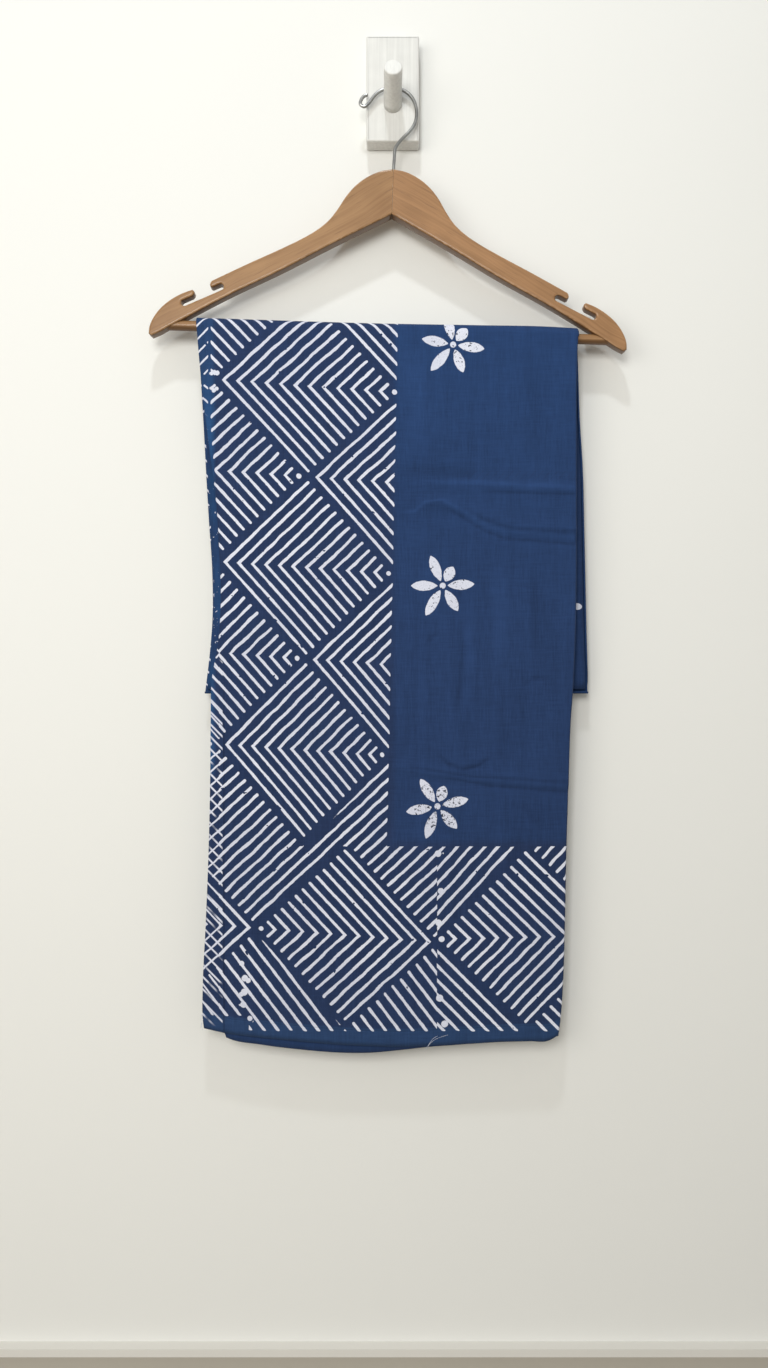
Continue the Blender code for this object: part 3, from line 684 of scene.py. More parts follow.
def outline_offset(outline, inset):
    """An outline moved inwards by a set distance along the mean normal of its two neighbouring edges."""
    before = outline - np.roll(outline, 1, axis=0)
    after = np.roll(outline, -1, axis=0) - outline
    before /= np.linalg.norm(before, axis=1, keepdims=True)
    after /= np.linalg.norm(after, axis=1, keepdims=True)
    tangent = before + after
    tangent /= np.linalg.norm(tangent, axis=1, keepdims=True)
    turn = np.clip(np.sum(tangent * after, axis=1, keepdims=True), 0.6, 1.0)
    normal = np.stack([tangent[:, 1], -tangent[:, 0]], axis=1)
    return outline + normal * inset / turn


def half_round(centre, radius, start, sweep, count):
    """Points on an arc, in degrees from +X."""
    angle = np.radians(np.linspace(start, start + sweep, count))
    return np.stack([centre[0] + radius * np.cos(angle), centre[1] + radius * np.sin(angle)], axis=1)


def arm_outline():
    """Outline of one arm, out from the seam, clockwise from the top of the seam."""
    floor_a = np.array(NOTCH_FLOOR[0])
    floor_b = np.array(NOTCH_FLOOR[1])
    along = (floor_b - floor_a) / np.linalg.norm(floor_b - floor_a)
    up = np.array([-along[1], along[0]])
    lean = math.degrees(math.atan2(along[1], along[0]))
    radius = NOTCH_HEIGHT / 2
    near_end = floor_a + up * radius + along * radius
    far_end = floor_b + up * radius - along * radius
    slope = along[1] / along[0]

    def roof(x):
        return floor_a[1] + NOTCH_HEIGHT / math.cos(math.radians(lean)) + slope * (x - floor_a[0])

    top = through(ARM_TOP, 6)
    near_roof = np.array([PRONG_NEAR - 2.5, roof(PRONG_NEAR - 2.5)])
    near_tip = np.array([PRONG_NEAR, (near_roof[1] + top[-1, 1]) / 2 - 0.6])
    far_roof = np.array([PRONG_FAR + 1.8, roof(PRONG_FAR + 1.8)])
    far_tip = np.array([PRONG_FAR, (far_roof[1] + ARM_END[0][1]) / 2 + 0.4])
    lower = np.concatenate([through(ARM_LOWER[:3], 5), through(ARM_LOWER[2:], 12)[1:]])
    pieces = [
        top,
        [near_tip + (-0.45, 1.9), near_tip, near_tip + (-0.6, -1.7)],
        [near_roof],
        half_round(near_end, radius, lean + 90, 180, 15),
        half_round(far_end, radius, lean - 90, 180, 15),
        [far_roof],
        [far_tip + (0.45, -1.5), far_tip, far_tip + (0.5, 1.5)],
        through(ARM_END, 6),
        lower,
    ]
    outline = np.concatenate([np.array(piece, float).reshape(-1, 2) for piece in pieces])
    outline[:, 0] = np.maximum(outline[:, 0], SEAM_GAP)
    keep = np.linalg.norm(outline - np.roll(outline, 1, axis=0), axis=1) > 0.05
    return outline[keep]


def slab_rings(outline, thick, edge_round, flat_end=None):
    """Rings of a flat board: its outline goes in and out by a quarter circle at each face's edge.

    thick is a function of the place across; the side at flat_end stays square, for a close seam."""
    turns = np.radians(np.linspace(0.0, 90.0, 6))
    pairs = [(edge_round + 0.5, 0.0, -0.5)]
    pairs += [(edge_round * (1 - np.sin(t)), edge_round * (1 - np.cos(t)), -0.5) for t in turns]
    pairs += [(inset, back_off, 0.5) for inset, back_off, _ in pairs[::-1]]
    rings = []
    for inset, back_off, way in pairs:
        flat = outline_offset(outline, inset)
        if flat_end is not None:
            flat[:, 0] = np.maximum(flat[:, 0], flat_end)
            flat[outline[:, 0] < flat_end + 0.01, 0] = flat_end + 0.2 * max(inset - edge_round, 0.0)
        y = way * (thick(flat[:, 0]) - 2 * back_off)
        rings.append(np.stack([flat[:, 0], y, flat[:, 1]], axis=1))
    return np.array(rings)


def arm_edge(outline, half):
    """For each point of an arm: how far round the front edge its ring lies, and how much it faces up."""
    turn = np.concatenate([[0.0], np.sin(np.radians(np.linspace(0.0, 90.0, half - 1))), np.ones(half)])
    up = (outline - outline_offset(outline, 1.0))[:, 1]
    return np.stack(np.broadcast_arrays(turn[:, None], up[None, :]), axis=-1).reshape(-1, 2)


def tube_rings(line, radius, sides, out):
    """Circles across a line: each lies in the plane of its side direction and out."""
    line = np.asarray(line, float)
    way = np.gradient(line, axis=0)
    way /= np.linalg.norm(way, axis=1, keepdims=True)
    side = np.cross(way, out)
    side /= np.linalg.norm(side, axis=1, keepdims=True)
    other = np.cross(side, way)
    angle = np.linspace(0, 2 * math.pi, sides, endpoint=False)[None, :, None]
    ring = np.cos(angle) * side[:, None, :] + np.sin(angle) * other[:, None, :]
    return line[:, None, :] + ring * np.broadcast_to(radius, len(line))[:, None, None]


def plate_rings():
    """Rings of the wall plate: a rounded upright rectangle whose back lies on the wall."""
    width, thick, height = PLATE_SIZE
    arcs = []
    for sx, sz, start in ((1, 1, 90.0), (1, -1, 0.0), (-1, -1, -90.0), (-1, 1, -180.0)):
        centre = (sx * (width / 2 - PLATE_CORNER), sz * (height / 2 - PLATE_CORNER))
        arcs.append(half_round(centre, PLATE_CORNER, start, -90.0, 7))
    rings = slab_rings(np.concatenate(arcs), lambda x: np.full(len(x), thick), PLATE_ROUND)
    rings[..., 1] -= thick / 2
    return rings


def peg_rings():
    """Rings of the peg: a tilted round rod with an eased rim; its first ring is cut flat on the plate."""
    angle = np.linspace(0, 2 * math.pi, 64, endpoint=False)
    tilt = np.array([0.0, -math.cos(PEG_TILT), math.sin(PEG_TILT)])
    upward = np.array([0.0, math.sin(PEG_TILT), math.cos(PEG_TILT)])
    ease = np.radians(np.linspace(0.0, 84.0, 9))
    straight = PEG_LENGTH - PEG_RIM
    outs = np.concatenate([np.linspace(0.0, straight, 12), straight + PEG_RIM * np.sin(ease[1:])])
    outs = np.append(outs, outs[-1])
    radii = np.concatenate([np.full(12, PEG_RADIUS), PEG_RADIUS - PEG_RIM * (1 - np.cos(ease[1:]))])
    radii = np.append(radii, radii[-1] - 0.6)
    circle = np.outer(np.cos(angle), [1.0, 0.0, 0.0]) + np.outer(np.sin(angle), upward)
    rings = np.array(PEG_ROOT) + outs[:, None, None] * tilt + radii[:, None, None] * circle
    rings[0] -= np.outer(PEG_RADIUS * circle[:, 1] / tilt[1], tilt)
    return rings


class Value:
    """One value in a shader, which can be used in sums as a number can."""

    def __init__(self, graph, socket):
        self.graph = graph
        self.socket = socket

    def __add__(self, other):
        return self.graph.maths("ADD", self, other)

    def __sub__(self, other):
        return self.graph.maths("SUBTRACT", self, other)

    def __mul__(self, other):
        return self.graph.maths("MULTIPLY", self, other)

    def __truediv__(self, other):
        return self.graph.maths("DIVIDE", self, other)

    def __rsub__(self, other):
        return self.graph.maths("SUBTRACT", other, self)

    def __rtruediv__(self, other):
        return self.graph.maths("DIVIDE", other, self)

    def __neg__(self):
        return self.graph.maths("MULTIPLY", self, -1.0)

    def __abs__(self):
        return self.graph.maths("ABSOLUTE", self)

    __radd__ = __add__
    __rmul__ = __mul__


class Graph:
    """The node tree of one material, written as sums."""

    def __init__(self, name, roughness):
        self.material = bpy.data.materials.new(name)
        self.material.use_nodes = True
        self.tree = self.material.node_tree
        self.shader = self.tree.nodes["Principled BSDF"]
        self.shader.inputs["Roughness"].default_value = roughness

    def feed(self, socket, value):
        if isinstance(value, Value):
            self.tree.links.new(value.socket, socket)
        else:
            socket.default_value = value

    def node(self, kind, settings, *sockets):
        """A node of a kind, with its settings and then its inputs, each a name or number and a value."""
        made = self.tree.nodes.new(kind)
        for key, value in settings.items():
            setattr(made, key, value)
        for key, value in sockets:
            self.feed(made.inputs[key], value)
        return made

    def maths(self, operation, *values):
        made = self.node("ShaderNodeMath", {"operation": operation}, *enumerate(values))
        return Value(self, made.outputs[0])

    def low(self, a, b):
        return self.maths("MINIMUM", a, b)

    def high(self, a, b):
        return self.maths("MAXIMUM", a, b)

    def above(self, a, b):
        return self.maths("GREATER_THAN", a, b)

    def ramp(self, value, low, high):
        """0 at low, 1 at high, and a smooth step between."""
        settings = {"interpolation_type": "SMOOTHSTEP"}
        inputs = ((0, value), (1, low), (2, high), (3, 0.0), (4, 1.0))
        return Value(self, self.node("ShaderNodeMapRange", settings, *inputs).outputs[0])

    def choose(self, which, a, b):
        """a where which is 0 and b where it is 1."""
        made = self.node("ShaderNodeMix", {"data_type": "FLOAT"}, (0, which), (2, a), (3, b))
        return Value(self, made.outputs[0])

    def tint(self, which, a, b):
        """Colour a where which is 0 and colour b where it is 1."""
        made = self.node("ShaderNodeMix", {"data_type": "RGBA"}, (0, which), (6, a), (7, b))
        return Value(self, made.outputs[2])

    def split(self, vector):
        made = self.node("ShaderNodeSeparateXYZ", {}, (0, vector))
        return [Value(self, output) for output in made.outputs]

    def join(self, x, y, z=0.0):
        return Value(self, self.node("ShaderNodeCombineXYZ", {}, (0, x), (1, y), (2, z)).outputs[0])

    def uv(self, name):
        return self.split(Value(self, self.node("ShaderNodeUVMap", {"uv_map": name}).outputs[0]))

    def here(self):
        return self.split(Value(self, self.node("ShaderNodeTexCoord", {}).outputs["Object"]))

    def noise(self, x, y, z, scale, detail=2.0, rough=0.5):
        """Noise about 0.5 over three coordinates, with scale cells to each unit."""
        at = self.join(x, y, z)
        inputs = (("Vector", at), ("Scale", scale), ("Detail", detail), ("Roughness", rough))
        return Value(self, self.node("ShaderNodeTexNoise", {}, *inputs).outputs[0])

    def bump(self, height, strength, distance):
        inputs = (("Height", height), ("Strength", strength), ("Distance", distance))
        made = self.node("ShaderNodeBump", {}, *inputs)
        self.tree.links.new(made.outputs[0], self.shader.inputs["Normal"])

    def finish(self, colour, roughness=None):
        self.feed(self.shader.inputs["Base Color"], colour)
        if roughness is not None:
            self.feed(self.shader.inputs["Roughness"], roughness)
        return self.material


def level_distance(g, value, pitch):
    """Distance from a value to the nearest whole number of pitches, in the value's own unit."""
    steps = value / pitch
    return abs(steps - g.maths("ROUND", steps)) * pitch


def stroke(g, away, past, half):
    """1 inside a line with round ends: away is the distance from its middle, past that past its end."""
    past = g.high(past, 0.0)
    away = g.maths("SQRT", away * away + past * past)
    return g.ramp(half - away, -0.16, 0.16)


def dot(g, across, down, radius):
    """1 inside a round dot."""
    return g.ramp(radius - g.maths("SQRT", across * across + down * down), -0.16, 0.16)


def lattice(g, across, down, half_across, half_down):
    """Cells of a diamond lattice: the offset from the nearest centre, and that centre's own row number.

    With a = across / half width and b = down / half height, the centres lie where (a + b) / 2 and
    (a - b) / 2 are both whole."""
    a = across / (2 * half_across)
    b = down / (2 * half_down)
    u = a + b
    v = a - b
    cell_u = g.maths("ROUND", u)
    cell_v = g.maths("ROUND", v)
    off_u = u - cell_u
    off_v = v - cell_v
    return (off_u + off_v) * half_across, (off_u - off_v) * half_down, cell_u - cell_v


def line_width(g, across, down):
    """Half width of a printed line, with swellings, thin places and breaks."""
    swell = g.noise(across, down, 3.0, 0.11, 2.0)
    fine = g.noise(across, down, 9.0, 0.45, 1.0)
    gone = g.ramp(g.noise(across, down, 21.0, 0.17, 1.0), 0.735, 0.765)
    return (1.32 + (swell - 0.5) * 1.1 + (fine - 0.5) * 0.4) * (1.0 - gone * 1.4)


def side_border(g, x, y, fold_past, wide):
    """Diamonds of the side border: their print, the border's edge, the middle of each cell, and its row.

    Each diamond is filled with nested angle marks: with t = dx - |dy|, a mark lies at each whole pitch of t
    from -drawn on, and ends where dx + |dy| = drawn. Centres lean left and the diamonds narrow towards
    the foot."""
    below = y - SIDE_CENTRE[1]
    middle = x - SIDE_CENTRE[0] + below * SIDE_LEAN
    squeezed = middle / (1.005 - g.high(below, -60.0) * SIDE_NARROWING)
    dx, dy, row = lattice(g, squeezed, below - middle * SIDE_TILT, *SIDE_HALF)
    edge = (x - (3.9 - (y - 229.6) * 0.0212)) * ROOT2
    past = g.high(g.high((dx + abs(dy) - SIDE_DRAWN) / ROOT2, edge), fold_past)
    marks = level_distance(g, dx - abs(dy) + SIDE_DRAWN, 2 * SIDE_DRAWN / LEVELS) / ROOT2
    side = stroke(g, marks, past, wide)
    side = g.high(side, dot(g, dx - SIDE_DRAWN, dy, wide + 1.0) * g.above(4.0, edge))
    return side, edge, (abs(dx) + abs(dy) - SIDE_DRAWN) / ROOT2, row


def foot_border(g, x, y, second, wide):
    """Diamonds of the foot border, pointing the other way: their print, the middle of each cell, its row.

    The block was put down twice, and the second impression doesn't quite line up."""
    lean_a = 792.0 + (x + 122.2) * 0.078
    lean_b = 801.8 - (x - 45.9) * 0.025
    axis = g.choose(second, lean_a, lean_b)
    dx, dy, row = lattice(g, x - FOOT_CENTRE[0], y - axis, *FOOT_HALF)
    marks = level_distance(g, FOOT_DRAWN - dx - abs(dy), 2 * FOOT_DRAWN / LEVELS) / ROOT2
    foot = stroke(g, marks, (abs(dy) - dx - FOOT_DRAWN) / ROOT2, wide)
    foot = g.high(foot, dot(g, dx + FOOT_DRAWN, dy, wide + 0.9))
    return foot, (abs(dx) + abs(dy) - FOOT_DRAWN) / ROOT2, row


def slanted(g, x, y, second, lines):
    """Distance to the nearest of a set of slanted lines, one set on each side of the block's seam."""
    found = []
    for tilt, start, length, pitch in lines:
        found.append(level_distance(g, (x + y * tilt + start) / length, pitch))
    return g.choose(second, *found)


def printed(g, across, down):
    """The block print, 0 to 1: a side border, a corner of slanted lines, and a border along the foot."""
    true_across = across
    # Left of the fold's line the print is mirrored, thinner, and left out for a stretch
    fold = g.ramp(down, 305.0, 440.0) * 9.0 - 171.3
    beyond = fold - across
    in_strip = g.above(beyond, 0.0)
    bare = g.above(down, 302.0) * g.above(372.0, down)
    fold_past = (1.9 - abs(beyond)) * ROOT2 - g.above(down, 372.0) * 50.0
    wide = line_width(g, across, down) * (1.0 - in_strip * 0.38) * (1.0 - in_strip * bare)
    across = across + g.high(beyond, 0.0) * 2.0 * g.above(540.0, down)
    slow_a = (g.noise(across, down, 1.0, 0.05, 1.0) - 0.5) * 1.7
    slow_b = (g.noise(across, down, 2.0, 0.05, 1.0) - 0.5) * 1.7
    x = across + slow_a + (g.noise(across, down, 5.0, 0.24, 1.0) - 0.5) * 0.45
    y = down + slow_b + (g.noise(across, down, 7.0, 0.24, 1.0) - 0.5) * 0.45
    second = g.above(x, BLOCK_SEAM)
    side, side_edge, in_side_cell, row = side_border(g, x, y, fold_past, wide)
    foot, cell, foot_row = foot_border(g, x, y, second, wide)
    rising = slanted(g, x, y, second, RISING)
    falling = slanted(g, x, y, second, FALLING)
    corner = stroke(g, rising, g.high(in_side_cell, side_edge), wide)
    past_top = (FOOT_TOP - y) * ROOT2 - 1.0e3 * (1.0 - g.above(x, -4.0))
    top_half = stroke(g, rising, g.high(cell, past_top), wide)
    low_edge = FOOT_LOW - 14.0 * (1.0 - g.above(x, -134.0))
    low_half = stroke(g, falling, g.high(cell, (y - low_edge) * 1.3), wide)
    # Which drawing holds where
    above_foot = g.choose(g.above(row, 4.5), side, corner)
    halves = g.choose(g.above(foot_row, 0.5), top_half, low_half)
    in_foot = g.choose(g.above(abs(foot_row), 0.5), foot, halves)
    # The foot's rows end at its lower edge
    in_foot = in_foot * (1.0 - g.ramp(y, FOOT_LOW + 1.2, FOOT_LOW + 2.4))
    total = g.choose(g.above(y, FOOT_TOP), above_foot, in_foot)
    for blot_across, blot_down, radius in BLOTS:
        swollen = radius - (wide - 1.4) * 1.2
        total = g.high(total, dot(g, true_across - blot_across, down - blot_down, swollen))
    return total


def flowers(g, across, down):
    """Petals and dark specks of six-petalled flowers; a petal is a lens from near the centre to its tip.

    With t from 0 at its root to 1 at its tip, its half width is (4t(1 - t))^0.8 times its widest."""
    x, y = None, None
    for fx, fy, turn in FLOWERS:
        c = math.cos(math.radians(turn))
        s = math.sin(math.radians(turn))
        ax = across - fx
        up = fy - down
        lx = ax * c + up * s
        ly = up * c - ax * s
        if x is None:
            x, y = lx, ly
            last = fy
            continue
        later = g.above(down, (fy + last) / 2)
        x = g.choose(later, x, lx)
        y = g.choose(later, y, ly)
        last = fy
    rough = (g.noise(across, down, 4.0, 0.35, 2.0) - 0.5) * 1.5
    total = 0.0
    for angle, length in PETALS:
        c = math.cos(math.radians(angle))
        s = math.sin(math.radians(angle))
        along = (x * c + y * s - 4.6) / (length - 4.6)
        off = abs(y * c - x * s)
        inside = g.high(along * (1.0 - along), 0.0)
        # Widest a little past the middle, so that the tips are blunter than the roots
        widest = 4.4 + along * 0.9 if length > 25 else 4.9 + along * 1.0
        half = g.maths("POWER", inside * 4.0, 0.8) * widest
        petal = g.ramp(half - off + rough * 0.7, -0.1, 0.5) * g.above(inside, 0.001)
        total = g.high(total, petal) if isinstance(total, Value) else petal
    radius = g.maths("SQRT", x * x + y * y)
    centre = g.ramp(2.9 - radius + rough * 0.4, -0.2, 0.4)
    ring = g.ramp(1.1 - abs(radius - 3.7), -0.2, 0.3)
    # Specks of bare ground, more of them in the lowest flower
    many = g.above(down, 575.0) * 0.05 + g.above(140.0, down) * 0.02
    specks = g.ramp(g.noise(across, down, 8.0, 0.42, 2.0, 0.6) + many, 0.63, 0.67)
    fine = g.ramp(g.noise(across, down, 18.0, 1.0, 1.0) + many, 0.68, 0.74)
    specks = g.high(specks, fine) * g.ramp(26.0 - radius, 0.0, 5.0)
    return g.high(total * (1.0 - ring), centre), specks


def hidden_dye(g, settings, across, down, hem_band):
    """Ground and print of the hidden layers, of which a little shows at the edges."""
    inner = g.ramp(g.noise(across, down, 2.0, 0.02, 1.0), 0.3, 0.7) * g.ramp(across, 100.0, -100.0)
    ground = g.tint(inner, (*settings.field_low, 1.0), (*settings.inside, 1.0))
    ground = g.tint(hem_band, ground, (*settings.field_low, 1.0))
    marks = level_distance(g, across + down * 1.05, 12.6)
    band = g.ramp(down, 366.0, 372.0) * g.ramp(down, 436.0, 428.0) * g.ramp(-across, 160.0, 163.0)
    worn = g.ramp(g.noise(across, down, 3.0, 0.25, 1.0), 0.42, 0.5)
    specks = g.ramp(g.noise(across, down, 14.0, 0.32, 1.0), 0.71, 0.74) * g.ramp(-across, 158.0, 162.0)
    mask = g.high(g.ramp(0.8 - marks, -0.2, 0.3) * band * worn, specks * 0.8)
    tip_x = across - PETAL_TIP[0]
    tip_y = down - PETAL_TIP[1]
    tip = dot(g, tip_x * 0.62 + tip_y * 0.3, tip_y * 0.9 - tip_x * 0.2, 2.9)
    return ground, g.high(mask, tip)


def outer_dye(g, settings, across, down, field, hem_band):
    """Ground and print of the layer that shows: borders, painted sheen on the fold at the left edge, a
    painted shadow along that fold's line, the hem band and flowers.
    """
    border = g.high(g.ramp(across, 6.0, -4.0), g.ramp(down, 706.0, 716.0)) * g.ramp(down, 892.0, 882.0)
    ground = g.tint(border * 0.85, field, (*settings.border, 1.0))
    # Painted sheen: a lighter indigo strip on the fold at the left edge, where it faces the light
    painted_edge_sheen = g.ramp(across, -164.0, -170.0) * (g.ramp(down, 250.0, 330.0) * 0.45 + 0.3)
    ground = g.tint(painted_edge_sheen * g.ramp(down, 660.0, 640.0), ground, EDGE_FOLD_SHEEN)
    ground = g.tint(hem_band * 0.8, ground, (*settings.hem, 1.0))
    # Faint slanted marks of the block above the upper crease
    ghost = g.ramp(0.9 - level_distance(g, across + down * 0.9, 7.0), -0.5, 0.5)
    ghost = ghost * g.ramp(abs(down - 369.5), 5.0, 3.5) * g.ramp(across, 55.0, 75.0) * 0.22
    ground = g.tint(ghost, ground, (*settings.border, 1.0))
    # A narrow strip along the left edge where the print of the edge's own fold shows through
    strip = g.ramp(across, -158.5, -159.5) * g.ramp(down, 540.0, 546.0)
    patchy = g.ramp(g.noise(across, down, 17.0, 0.05, 2.0), 0.36, 0.52)
    falling = g.ramp(0.85 - level_distance(g, (across - down * 0.98) / 1.4, 8.1), -0.2, 0.3)
    mask = printed(g, across, down)
    mask = g.high(mask, falling * strip * patchy * g.ramp(884.0 - down, 0.0, 6.0))
    # Painted shadow: a dark line along the fold at the left edge
    painted_fold_shadow = g.ramp(0.35 - abs(across + 157.6), -0.2, 0.2) * g.ramp(down, 540.0, 600.0)
    ground = g.tint(painted_fold_shadow * 0.7, ground, FOLD_LINE_SHADOW)
    petals, specks = flowers(g, across, down)
    ground = g.tint(specks * g.ramp(petals, 0.0, 0.4) * 0.9, ground, SPECK_SHADE)
    return ground, g.high(mask, petals * (1.0 - specks * 0.92))


def cloth_look(name, settings, hidden=False):
    """Indigo plain weave: uneven dyeing, a pale print, a lighter hem band and fine threads.

    The fine folds' heights paint shade into their troughs and light onto their ridges.
    """
    g = Graph(name, 0.88)
    u, v, _ = g.uv("print")
    folds, hem, _ = g.uv("edge")
    across = u * 1000.0
    down = v * -1000.0
    slub = g.noise(across * 6.0, down * 0.5, 0.0, 0.12, 3.0)
    cross = g.noise(across * 0.5, down * 6.0, 5.0, 0.12, 3.0)
    streak = g.noise(across * 1.0, down * 0.07, 23.0, 0.13, 2.0)
    cloud = g.noise(across, down, 11.0, 0.011, 2.0)
    pale = g.ramp(down, 620.0, 150.0)
    field = g.tint(pale, (*settings.field_low, 1.0), (*settings.field_high, 1.0))
    threads = (slub - 0.5) * 0.5 + (cross - 0.5) * 0.34 + (streak - 0.5) * 0.34
    # Painted shade and light: the fine folds' heights darken their troughs and lighten their ridges
    dye_and_fold_shade = 0.88 + cloud * 0.22 + threads + folds * 0.42
    hem_band = g.ramp(hem, 0.0175, 0.0155)
    if hidden:
        ground, mask = hidden_dye(g, settings, across, down, hem_band)
    else:
        ground, mask = outer_dye(g, settings, across, down, field, hem_band)
    thread = g.noise(across, down, 31.0, 1.3, 1.0)
    white = g.tint(g.ramp(cloud, 0.35, 0.65), (*settings.line, 1.0), WORN_PRINT)
    solid = mask * (0.9 + (thread - 0.5) * 0.35)
    inputs = ((0, ground), (1, g.join(dye_and_fold_shade, dye_and_fold_shade, dye_and_fold_shade)))
    tinted = Value(g, g.node("ShaderNodeVectorMath", {"operation": "MULTIPLY"}, *inputs).outputs[0])
    colour = g.tint(g.low(g.high(solid, 0.0), 1.0), tinted, white)
    weave = g.maths("SINE", across * 9.0) * g.maths("SINE", down * 9.0)
    stitch = g.ramp(0.5 - abs(hem * 1000.0 - 14.2), -0.3, 0.3) * 1.2
    height = slub * 0.5 + cross * 0.4 + weave * 0.06 + mask * 0.12 - stitch
    g.bump(height, 0.5, 0.0005)
    g.shader.inputs["Sheen Weight"].default_value = 0.03
    g.shader.inputs["Sheen Roughness"].default_value = 0.6
    g.shader.inputs["Specular IOR Level"].default_value = 0.12
    return g.finish(colour, 0.84 + (thread - 0.5) * 0.1)


def wood_look(name, colour, dark, angle):
    """Varnished straight-grained wood: streaks along the grain from stretched noise, under a clear coat.

    The UV map "edge" says how far round the front edge a point lies, 0 to 1, and how much it faces up;
    edges are worn pale in places, and sides and undersides that face down get painted shade."""
    g = Graph(name, 0.4)
    x, y, z = g.here()
    turn, up, _ = g.uv("edge")
    c = math.cos(angle)
    s = math.sin(angle)
    along = x * c + z * s
    across = z * c - x * s
    bend = g.noise(along * 4.0, across * 9.0, y * 9.0, 2.0, 2.0) * 0.02
    rings = g.noise(along * 5.0, (across + bend) * 260.0, y * 90.0, 1.6, 4.0, 0.62)
    pores = g.noise(along * 40.0, across * 1100.0, y * 900.0, 1.0, 2.0)
    cloud = g.noise(x, y, z, 22.0, 2.0)
    tone = g.ramp(rings * 0.6 + cloud * 0.4, 0.32, 0.68)
    body = g.tint(tone, (*dark, 1.0), (*colour, 1.0))
    flecks = g.ramp(pores, 0.6, 0.74) * 0.5
    body = g.tint(flecks, body, (dark[0] * 0.55, dark[1] * 0.5, dark[2] * 0.5, 1.0))
    patches = g.ramp(g.noise(x, y, z, 260.0, 2.0), 0.42, 0.6)
    worn = g.ramp(turn, 0.25, 0.45) * g.ramp(turn, 0.97, 0.8) * patches
    body = g.tint(worn * 0.6, body, (colour[0] * 1.35, colour[1] * 1.5, colour[2] * 1.8, 1.0))
    # Painted shade: the sides and undersides that face down are darkened
    under = g.ramp(turn, 0.55, 0.95) * g.ramp(-up, 0.1, 0.6)
    body = g.tint(under * 0.72, body, (dark[0] * 0.3, dark[1] * 0.25, dark[2] * 0.22, 1.0))
    g.bump(rings * 0.6 - flecks, 0.25, 0.0004)
    g.shader.inputs["Coat Weight"].default_value = 0.4
    g.shader.inputs["Coat Roughness"].default_value = 0.16
    g.shader.inputs["Specular IOR Level"].default_value = 0.3
    return g.finish(body, 0.36 + rings * 0.16)


def paint_look(name, colour):
    """Brushed white paint on wood: faint upright grain and brush marks, in tone and in the bump."""
    g = Graph(name, 0.45)
    x, y, z = g.here()
    grain = g.noise(x * 420.0, y * 420.0, z * 14.0, 1.0, 3.0)
    cloud = g.noise(x, y, z, 60.0, 2.0)
    tone = g.ramp(grain * 0.7 + cloud * 0.3, 0.3, 0.72)
    dull = tuple(value * 0.86 for value in colour)
    body = g.tint(tone, (*dull, 1.0), (*colour, 1.0))
    g.bump(grain, 0.35, 0.0004)
    return g.finish(body, 0.4 + grain * 0.16)


def steel_look(name, colour):
    """Drawn steel wire: a satin metal with fine unevenness."""
    g = Graph(name, 0.3)
    x, y, z = g.here()
    fine = g.noise(x, y, z, 900.0, 2.0)
    cloud = g.noise(x, y, z, 90.0, 2.0)
    dull = tuple(value * 0.7 for value in colour)
    body = g.tint(g.ramp(cloud, 0.35, 0.65), (*dull, 1.0), (*colour, 1.0))
    g.shader.inputs["Metallic"].default_value = 1.0
    g.bump(fine, 0.1, 0.0002)
    return g.finish(body, 0.24 + fine * 0.14)


def stage_look(name, colour, roughness, scale, amount):
    """A painted or laid surface with a faint unevenness."""
    g = Graph(name, roughness)
    x, y, z = g.here()
    cloud = g.noise(x, y, z, scale, 3.0)
    dull = tuple(value * (1 - amount) for value in colour)
    return g.finish(g.tint(g.ramp(cloud, 0.3, 0.7), (*dull, 1.0), (*colour, 1.0)))


def board(name, low, high, look):
    """A plain board of the stage between two opposite corners."""
    x0, y0, z0 = low
    x1, y1, z1 = high
    points = [(x, y, z) for z in (z0, z1) for x, y in ((x0, y0), (x1, y0), (x1, y1), (x0, y1))]
    faces = [(0, 3, 2, 1), (4, 5, 6, 7), (0, 1, 5, 4), (1, 2, 6, 5), (2, 3, 7, 6), (3, 0, 4, 7)]
    mesh = bpy.data.meshes.new(name)
    mesh.from_pydata(points, [], faces)
    mesh.materials.append(look)
    piece = bpy.data.objects.new(name, mesh)
    bpy.context.scene.collection.objects.link(piece)


def light(name, place_at, aim, size, power, colour):
    """A soft rectangular light that points from its place at its aim."""
    data = bpy.data.lights.new(name, "AREA")
    data.shape = "RECTANGLE"
    data.size, data.size_y = size
    data.energy = power
    data.color = colour
    lamp = bpy.data.objects.new(name, data)
    lamp.location = place_at
    way = np.array(place_at) - np.array(aim)
    tilt = math.acos(way[2] / np.linalg.norm(way))
    lamp.rotation_euler = (tilt, 0.0, math.atan2(way[0], -way[1]))
    bpy.context.scene.collection.objects.link(lamp)


def colour_setting(name, description, value):
    return bpy.props.FloatVectorProperty(
        name=name, description=description, subtype="COLOR", size=3, min=0.0, max=1.0, default=value
    )


